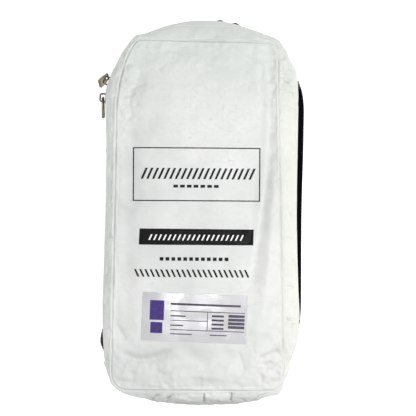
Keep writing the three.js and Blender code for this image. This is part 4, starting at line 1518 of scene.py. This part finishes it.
    def _bottom(self, start: float, end: float) -> list[bpy.types.Object]:
        """The bottom gusset, from the front seam to the back one, with its topstitching.

        Args:
            start: where it starts, as a distance round the seam.
            end: where it ends.

        Returns:
            The new pieces.
        """
        strip = WallStrip(self.form, start, end, spacing=0.8)
        upper, lower = self._upper(strip, 24), self._lower(strip, 15)
        between = np.linspace(0, 1, 14)[1:-1, None]
        strip.out, strip.height = (
            np.concatenate([above, above[-1] * (1 - between) + below[0] * between, below])
            for above, below in zip(upper, lower))
        down = strip.down()
        share = down / down[-1]
        drawn_in = 0.6 - 0.5 * smoothstep(0.28, 0.4, share)
        strip.out = strip.out - drawn_in * self.form.pleat(strip.at[None], share)
        calm = smoothstep(0, 0.07, share) * smoothstep(1.0, 0.9, share) * (0.3 + 0.7 * strip.inside)
        self._crumple(strip, calm * (1 - 0.9 * smoothstep(0.3, 0.4, share) * smoothstep(0.85, 0.7, share)),
                      np.ones_like(share))
        self._edge(strip)
        strip.height = np.maximum(strip.height, self.least_height)
        strip.push(-0.35 * (1 - strip.inside) * smoothstep(0, 0.1, share) * smoothstep(1, 0.9, share))
        piece = strip.sheet("bottom_gusset_sheet", "bottom_gusset", SHEET)
        return [piece, self._sew(strip, "bottom_gusset_topstitch", self.topstitch)]


@dataclass
class BackPanel:
    """The flat back panel that the case lies on."""

    form: CaseForm
    rings: int = 36
    spacing: float = 3.0
    flat: tuple[float, float] = (0.178, 0.348)  # metres, the rectangle it is cut from

    def build(self) -> list[bpy.types.Object]:
        """Build and dress the back panel.

        Returns:
            The new pieces.
        """
        form = self.form
        at = np.linspace(0, form.ring_length, int(form.ring_length / self.spacing) + 1)
        edge = form.in_space(at, form.back_stand(at) - form.back_tuck + form.gap, np.zeros_like(at))
        edge[-1] = edge[0]
        middle = edge[:-1].mean(0)
        share = (np.linspace(0, 1, self.rings) ** 1.4)[:, None, None]
        under = edge[None] * (1 - share * 0.995) + middle * share * 0.995
        lift = 0.35 * np.exp(-((share[..., 0] * 90) / 1.2) ** 2)
        under[..., 2] = lift
        over = under.copy()
        over[..., 2] = form.sheet - 0.3 * np.exp(-((share[..., 0] * 90) / 1.5) ** 2)
        points, faces = shell(over[:, ::-1], under[:, ::-1])
        piece = new_piece("back_panel_sheet", points, faces)
        self._weld(piece)
        SHEET.dress(piece)
        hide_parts("back_panel")
        return [piece]

    @staticmethod
    def _weld(piece: bpy.types.Object) -> None:
        """Close the ring of points where its ends meet.

        Args:
            piece: the piece, whose mesh is mended.
        """
        mesh = bmesh.new()
        mesh.from_mesh(piece.data)
        bmesh.ops.remove_doubles(mesh, verts=mesh.verts, dist=1e-6)
        inside = [e for e in mesh.edges if e.is_boundary]
        if inside:
            bmesh.ops.holes_fill(mesh, edges=inside, sides=0)
        bmesh.ops.recalc_face_normals(mesh, faces=mesh.faces)
        mesh.to_mesh(piece.data)
        mesh.free()


@dataclass
class ZipChain:
    """The zip's two woven tapes and the two halves of its coil."""

    form: CaseForm
    coil_pitch: float = 1.5
    turn: float = 0.5  # half the filament's thickness along the chain
    tuck: float = 0.5
    stitch: Lockstitch = Lockstitch(length=2.8, pitch=3.0, thread=0.16)
    start: float = field(init=False)
    end: float = field(init=False)

    def build(self) -> list[bpy.types.Object]:
        """Build and dress the tapes and the coils.

        Returns:
            The new pieces.
        """
        form = self.form
        self.start = form.place(Side.LEFT, form.zip_end_left) + form.gap
        self.end = form.ring_length + form.place(Side.RIGHT, form.zip_end_right) - form.gap
        pieces = []
        for sign, name in ((1, "front"), (-1, "back")):
            pieces += [self._tape(sign, name), self._coil(sign, name), self._chain_stitch(sign, name)]
        return pieces

    def _tape(self, sign: int, name: str) -> bpy.types.Object:
        """One tape, from inside the gusset that holds it to the zip's middle line.

        Args:
            sign: 1 for the front half, -1 for the back one.
            name: front or back.

        Returns:
            The new piece.
        """
        form = self.form
        strip = WallStrip(form, self.start, self.end, spacing=1.8, thickness=form.tape * 0.8)
        at = strip.at
        hem_out = form.stand(at) if sign > 0 else form.back_stand(at)
        hem_height = form.front_edge if sign > 0 else form.back_edge
        inside = form.sheet + self.tuck
        hem_out = hem_out - form.pleat(at, np.full_like(at, 0.5)) - inside
        face = form.tape_face(at)
        knots_out = [hem_out - 1.5, hem_out - 0.3, hem_out + 0.1 * (face - hem_out), face, face, face]
        flat, shut = form.tape_flat, form.zip_gap(at)
        levels = [hem_height + sign * 1.6 - form.zip_height, hem_height - form.zip_height,
                  hem_height - sign * 1.2 - form.zip_height,
                  sign * (flat + 0.2), sign * (flat - 1.2), sign * shut]
        knots_height = [form.zip_height + np.broadcast_to(level, at.shape) for level in levels]
        out, height = self._smooth(np.stack(knots_out), np.stack(knots_height))
        strip.out, strip.height = (out, height) if sign > 0 else (out[::-1], height[::-1])
        return strip.sheet(f"zip_tape_{name}_cloth", f"zip_tape_{name}", TAPE)

    @staticmethod
    def _smooth(out: Grid, height: Grid) -> tuple[Grid, Grid]:
        """Round a profile's knots twice, keeping its ends.

        Args:
            out: how far out each knot is.
            height: how high.

        Returns:
            The same for the rounded profile.
        """
        for _ in range(2):
            parts_out, parts_height = [out[:1]], [height[:1]]
            for i in range(len(out) - 1):
                for share in (0.25, 0.75):
                    parts_out.append(out[i:i + 1] * (1 - share) + out[i + 1:i + 2] * share)
                    parts_height.append(height[i:i + 1] * (1 - share) + height[i + 1:i + 2] * share)
            out = np.concatenate([*parts_out, out[-1:]])
            height = np.concatenate([*parts_height, height[-1:]])
        return out, height

    def _coil(self, sign: int, name: str) -> bpy.types.Object:
        """One half of the chain: turns of a coil whose heads mesh with the other half's.

        Args:
            sign: 1 for the front half, -1 for the back one.
            name: front or back.

        Returns:
            The new piece.
        """
        form = self.form
        offset = self.coil_pitch / 2 if sign < 0 else 0
        at = np.arange(self.start + 1, self.end - 1, self.coil_pitch) + offset
        shut = form.zip_gap(at)
        reach = 0.45 * (form.open_gap - shut) / (form.open_gap - form.closed_gap)
        out = form.tape_face(at) + form.coil_thickness / 2 - 0.05
        head = form.in_space(at, out, form.zip_height + sign * (shut - reach))
        tail = form.in_space(at, out, form.zip_height + sign * (shut + form.coil_width))
        outward = np.concatenate([form.outward(at), np.zeros((len(at), 1))], axis=1)
        turns = rods(head, tail, outward, (form.coil_thickness / 2, self.turn))
        piece = new_piece(f"zip_coil_{name}_turns", *turns)
        COIL.dress(piece)
        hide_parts(f"zip_coil_{name}")
        return piece

    def _chain_stitch(self, sign: int, name: str) -> bpy.types.Object:
        """The stitching that holds the coil to its tape, as a row of threads over the turns.

        Args:
            sign: 1 for the front half, -1 for the back one.
            name: front or back.

        Returns:
            The new piece.
        """
        form = self.form
        at = np.arange(self.start + 2, self.end - 2, 1.0)
        out = form.tape_face(at) + form.coil_thickness - 0.17
        line = form.in_space(at, out, form.zip_height + sign * (form.zip_gap(at) + form.coil_width * 0.62))
        facing = np.concatenate([form.outward(at), np.zeros((len(at), 1))], axis=1)
        stitches = self.stitch.sew(f"zip_coil_{name}_stitches", line, facing)
        BLACK_THREAD.dress(stitches)
        return stitches


@dataclass
class ZipHardware:
    """The two sliders and their pull tabs: the cast pieces with softened edges."""

    edge: float = 0.22
    steps: int = 3
    flat_turn: float = math.radians(3)  # faces that meet at less are one face
    sharp_turn: float = math.radians(25)  # edges that turn more than this are rounded

    def build(self) -> list[bpy.types.Object]:
        """Soften and dress each cast piece.

        Returns:
            The new pieces.
        """
        bodies = {"slider_lower": "case", "slider_upper": "case", "pull_tab_lower": "pull_tab_lower",
                  "pull_tab_upper": "pull_tab_upper"}
        return [self._cast(node, body) for node, body in bodies.items()]

    def _cast(self, node: str, body: str) -> bpy.types.Object:
        """Copy a solid with rounded edges.

        Args:
            node: the solid's name.
            body: the body that it rides on.

        Returns:
            The rounded piece.
        """
        mesh = bmesh.new()
        mesh.from_mesh(bpy.data.objects[node].data)
        bmesh.ops.remove_doubles(mesh, verts=mesh.verts, dist=1e-6)
        bmesh.ops.dissolve_limit(mesh, angle_limit=self.flat_turn, verts=mesh.verts, edges=mesh.edges)
        sharp = [e for e in mesh.edges if len(e.link_faces) == 2 and e.calc_face_angle(0) > self.sharp_turn]
        bmesh.ops.bevel(mesh, geom=sharp, offset=self.edge * MM, segments=self.steps, profile=0.6,
                        affect="EDGES", clamp_overlap=True)
        data = bpy.data.meshes.new(f"{node}_cast")
        mesh.to_mesh(data)
        mesh.free()
        data.polygons.foreach_set("use_smooth", np.ones(len(data.polygons), dtype=bool))
        piece = bpy.data.objects.new(f"{node}_cast", data)
        bpy.context.scene.collection.objects.link(piece)
        weighted = piece.modifiers.new("even normals", "WEIGHTED_NORMAL")
        weighted.keep_sharp = True
        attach(piece, body)
        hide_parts(node)
        NICKEL.dress(piece)
        return piece


PRINT_BLOCK: Corners = ((-58.0, -14.0), (46.6, -15.1), (46.1, -29.6), (-58.7, -28.8))
PRINT_FRAME: tuple[Corners, ...] = (
    ((-63.7, 60.5), (52.7, 59.6), (52.6, 58.6), (-63.8, 59.5)),
    ((-64.1, 12.2), (52.3, 11.4), (52.3, 10.4), (-64.1, 11.2)),
    ((-64.2, 60.5), (-63.2, 60.5), (-63.4, 11.2), (-64.4, 11.2)),
    ((51.8, 59.6), (52.8, 59.6), (52.6, 10.4), (51.6, 10.4)),
)
# each row's name; left, right, upper and lower edge, pitch, stroke width and slant; its ink and extra lift
PRINT_ROWS: tuple[tuple[str, tuple[float, ...], Finish, float], ...] = (
    ("print_strokes", (-57, 42, 41.5, 31.5, 5.2, 2.1, 4.5), GREY_INK, 0.0),
    ("print_dashes", (-27, 16, 26.0, 23.4, 6.2, 4.2, 0), GREY_INK, 0.0),
    ("print_block_strokes", (-50, 36, -19.4, -24.6, 4.4, 1.5, 2.4), WHITE_INK, 0.07),
    ("print_dashes_upper", (-39.5, 24, -40.2, -43.4, 5.4, 3.4, 0), GREY_INK, 0.0),
    ("print_strokes_lower", (-60, 44, -51.2, -58.2, 4.8, 1.8, -3.2), GREY_INK, 0.0),
)


@dataclass
class Print:
    """The screen print: a ruled frame, a block and rows of plain strokes and dashes."""

    form: CaseForm
    face: PanelFace
    lift: float = 0.16
    film: float = 0.05
    step: float = 1.0
    fall: float = -0.009  # how much the rows fall for each millimetre to the right

    def build(self) -> list[bpy.types.Object]:
        """Build and dress the print.

        Returns:
            The new pieces.
        """
        ruled = [self._patches("print_block", [PRINT_BLOCK], BLACK_INK),
                 self._patches("print_frame", PRINT_FRAME, GREY_INK)]
        rows = [self._patches(name, self._row(*row), ink, above) for name, row, ink, above in PRINT_ROWS]
        return ruled + rows

    def _row(self, left: float, right: float, high: float, low: float, pitch: float, wide: float,
             slant: float) -> list[Corners]:
        """A row of strokes across the panel.

        Args:
            left: where the row starts.
            right: where it ends.
            high: the strokes' upper edge.
            low: their lower edge.
            pitch: from one stroke to the next.
            wide: each stroke's width.
            slant: how far its upper end leans to the right.

        Returns:
            Each stroke's corners: top left, top right, bottom right and bottom left.
        """
        strokes = []
        for i in range(int((right - left) / pitch) + 1):
            x = left + i * pitch
            drop = self.fall * (x - left)
            strokes.append(((x + slant, high + drop), (x + wide + slant, high + drop), (x + wide, low + drop),
                            (x, low + drop)))
        return strokes

    def _patches(self, name: str, patches: Sequence[Corners], ink: Finish,
                 above: float = 0.0) -> bpy.types.Object:
        """Print four-cornered patches of ink on the panel.

        Args:
            name: the piece's name.
            patches: each patch's corners in plan: top left, top right, bottom right and bottom left.
            ink: its finish.
            above: how far above the other ink it lies.

        Returns:
            The patches, as one piece.
        """
        lift = self.lift + above
        piece = new_piece(name, *joined([conforming(np.array(corners), self.step, self.film,
                                                    lambda x, y: self.face.height(x, y) + lift)
                                         for corners in patches]))
        ink.dress(piece)
        return piece


def joined(shapes: Sequence[tuple[Grid, Faces]]) -> tuple[Grid, Faces]:
    """Several shapes' points and faces as one.

    Args:
        shapes: each shape's points and faces.

    Returns:
        The points and faces of all.
    """
    points, faces, before = [], [], 0
    for shape, sides in shapes:
        flat = shape.reshape(-1, 3)
        points.append(flat)
        faces += [tuple(before + corner for corner in side) for side in sides]
        before += len(flat)
    return np.concatenate(points), faces


def conforming(corners: Grid, step: float, film: float,
               height: Callable[[Grid, Grid], Grid]) -> tuple[Grid, Faces]:
    """A thin film that follows a face.

    Args:
        corners: top left, top right, bottom right and bottom left, in plan.
        step: the grid's spacing, in millimetres.
        film: the film's thickness.
        height: the height of its underside.

    Returns:
        The film's points and faces.
    """
    across = max(2, int(np.linalg.norm(corners[1] - corners[0]) / step) + 1)
    down = max(3, int(np.linalg.norm(corners[3] - corners[0]) / step) + 1)
    u, v = np.meshgrid(np.linspace(0, 1, across), np.linspace(0, 1, down))
    u_, v_ = u[..., None], v[..., None]
    foot, head = corners[3] * (1 - u_) + corners[2] * u_, corners[0] * (1 - u_) + corners[1] * u_
    plan = foot * (1 - v_) + head * v_
    low = height(plan[..., 0], plan[..., 1])
    under = np.concatenate([plan, low[..., None]], axis=-1)
    over = np.concatenate([plan, low[..., None] + film], axis=-1)
    return shell(over, under)


# plain bars on the label: left, low, right and high from its middle
LABEL_BARS: dict[str, Box] = {
    "label_rule_top": (-22, 5.6, 46, 6.3), "label_rule_middle": (-22, -3.0, 12, -2.4),
    "label_rule_foot": (-22, -11.6, 46, -10.9), "label_rule_upright": (11.7, -11.3, 12.3, 6.0),
    "label_title": (-22, 11.3, 42, 13.2), "label_line_a": (-22, 0.8, -8, 1.9),
    "label_line_b": (-22, -7.8, -10, -6.7), "label_line_c": (-22, -15.6, -2, -14.7),
    "label_line_d": (14.5, -15.6, 30, -14.7),
    **{f"label_stripe_{i + 1}": (16, level - 0.9, 27, level + 0.9)
       for i, level in enumerate((2.4, -1.4, -5.2, -9.0))},
    **{f"label_block_{i + 1}": (31, level - 1.25, 46, level + 1.25)
       for i, level in enumerate((2.9, -0.5, -3.9, -7.3))},
}
LABEL_COLOURS: dict[str, Box] = {
    "label_swatch_upper": (-41, -3, -28, 15), "label_swatch_lower": (-40, -15, -29, -5),
}


@dataclass
class Label:
    """The stuck-on label and its plain generic print."""

    form: CaseForm
    face: PanelFace
    gap: float = 0.25
    film: float = 0.16
    ink: float = 0.05
    ink_gap: float = 0.04
    step: float = 1.5

    def build(self) -> list[bpy.types.Object]:
        """Build and dress the label.

        Returns:
            The new pieces.
        """
        width, tall = self.form.label_size
        film = new_piece("label_film", *conforming(self._place(-width / 2, -tall / 2, width / 2, tall / 2),
                                                   self.step, self.film, self._under))
        FILM.dress(film)
        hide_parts("label")
        return [film, *(self._mark(name, box, LABEL_INK) for name, box in LABEL_BARS.items()),
                *(self._mark(name, box, PURPLE_INK) for name, box in LABEL_COLOURS.items())]

    def _place(self, left: float, low: float, right: float, high: float) -> Grid:
        """A box on the label as corners in plan: top left, top right, bottom right and bottom left.

        Args:
            left: its left edge, from the label's middle.
            low: its lower edge.
            right: its right edge.
            high: its upper edge.

        Returns:
            The corners.
        """
        turn = math.radians(self.form.label_turn)
        spin = np.array([[math.cos(turn), -math.sin(turn)], [math.sin(turn), math.cos(turn)]])
        box = np.array([[left, high], [right, high], [right, low], [left, low]])
        return box @ spin.T + np.array(self.form.label_middle)

    def _under(self, x: Grid, y: Grid) -> Grid:
        """The height of the label's underside."""
        return self.face.height(x, y) + self.gap

    def _mark(self, name: str, box: Box, ink: Finish) -> bpy.types.Object:
        """A plain printed bar on the label.

        Args:
            name: the piece's name.
            box: its left, low, right and high edges.
            ink: its finish.

        Returns:
            The new piece.
        """
        piece = new_piece(name, *conforming(self._place(*box), self.step, self.ink,
                                            lambda x, y: self._under(x, y) + self.film + self.ink_gap))
        ink.dress(piece)
        return piece


@dataclass
class Studio:
    """Floor, lights and the camera straight above."""

    camera_height: float = 1125.0
    camera_over: tuple[float, float] = (4.66, 4.66)
    half_view: float = 0.17668
    horizon: float = 0.3
    zenith: float = 0.54
    room: str = "#fdfeff"
    table_size: float = 8.0

    def build(self) -> None:
        """Set the whole studio."""
        self._floor()
        self._lights()
        self._camera()

    def _floor(self) -> None:
        """Lay the table top."""
        mesh = bmesh.new()
        bmesh.ops.create_grid(mesh, x_segments=32, y_segments=32, size=self.table_size)
        data = bpy.data.meshes.new("table_top")
        mesh.to_mesh(data)
        mesh.free()
        floor = bpy.data.objects.new("table_top", data)
        floor.location.z = -0.0002
        bpy.context.scene.collection.objects.link(floor)
        FLOOR.dress(floor)

    def _lights(self) -> None:
        """A small key from the right, a weak lamp overhead, a broad fill from the left, and a pale room."""
        self._area("key", (0.62, 0.04, 1.2), (0.0, 0.0, 0.02), 0.22, 12.8)
        self._area("overhead", (-0.03, -0.178, 1.3), (-0.03, -0.178, 0.0), 0.09, 0.2)
        self._area("fill", (-0.9, 0.0, 0.85), (0.0, 0.0, 0.02), 0.9, 3.2)
        world = bpy.data.worlds.new("studio")
        bpy.context.scene.world = world
        world.use_nodes = True
        world.node_tree.nodes.clear()
        add = partial(add_node, world.node_tree)
        above = add("SeparateXYZ", Vector=add("TexCoord").outputs["Generated"])
        bright = add("MapRange", Value=above.outputs["Z"], From_Min=0.0, From_Max=0.9,
                     To_Min=self.horizon, To_Max=self.zenith)
        sky = add("Background", Color=linear(self.room), Strength=bright.outputs["Result"])
        add("OutputWorld", Surface=sky.outputs[0])
        bpy.context.scene.view_settings.view_transform = "Standard"

    def _area(self, name: str, place: tuple[float, float, float], target: tuple[float, float, float],
              size: float, power: float) -> None:
        """Hang a square area light.

        Args:
            name: the light's name.
            place: where it hangs, in metres.
            target: what it points at.
            size: its side, in metres.
            power: its power, in watts.
        """
        data = bpy.data.lights.new(name, "AREA")
        data.size, data.energy = size, power
        light = bpy.data.objects.new(name, data)
        light.location = place
        aim = light.location.copy()
        aim.x, aim.y, aim.z = (t - p for t, p in zip(target, place))
        light.rotation_euler = aim.to_track_quat("-Z", "Y").to_euler()
        bpy.context.scene.collection.objects.link(light)

    def _camera(self) -> None:
        """Hang the camera straight above, with the case's top up in the picture."""
        data = bpy.data.cameras.new("camera")
        data.sensor_width = 36.0
        data.lens = 18.0 / self.half_view
        data.dof.use_dof = False
        camera = bpy.data.objects.new("camera", data)
        camera.location = (self.camera_over[0] * MM, self.camera_over[1] * MM, self.camera_height * MM)
        bpy.context.scene.collection.objects.link(camera)
        bpy.context.scene.camera = camera


def report(label: str, pieces: Sequence[bpy.types.Object]) -> None:
    """Log each piece and its size."""
    for piece in pieces:
        LOG.info("%s: %s, %d faces", label, piece.name, len(piece.data.polygons))


def main() -> None:
    """Build the studio and the case, in order."""
    logging.basicConfig(level=logging.INFO, format="%(message)s")
    Studio().build()
    form = CaseForm()
    face = PanelFace(form)
    report("front panel", FrontPanel(form, face).build())
    report("side wall", SideWall(form, face).build())
    report("back panel", BackPanel(form).build())
    report("zip", ZipChain(form).build())
    report("hardware", ZipHardware().build())
    report("print", Print(form, face).build())
    report("label", Label(form, face).build())


if __name__ == "__main__":
    main()
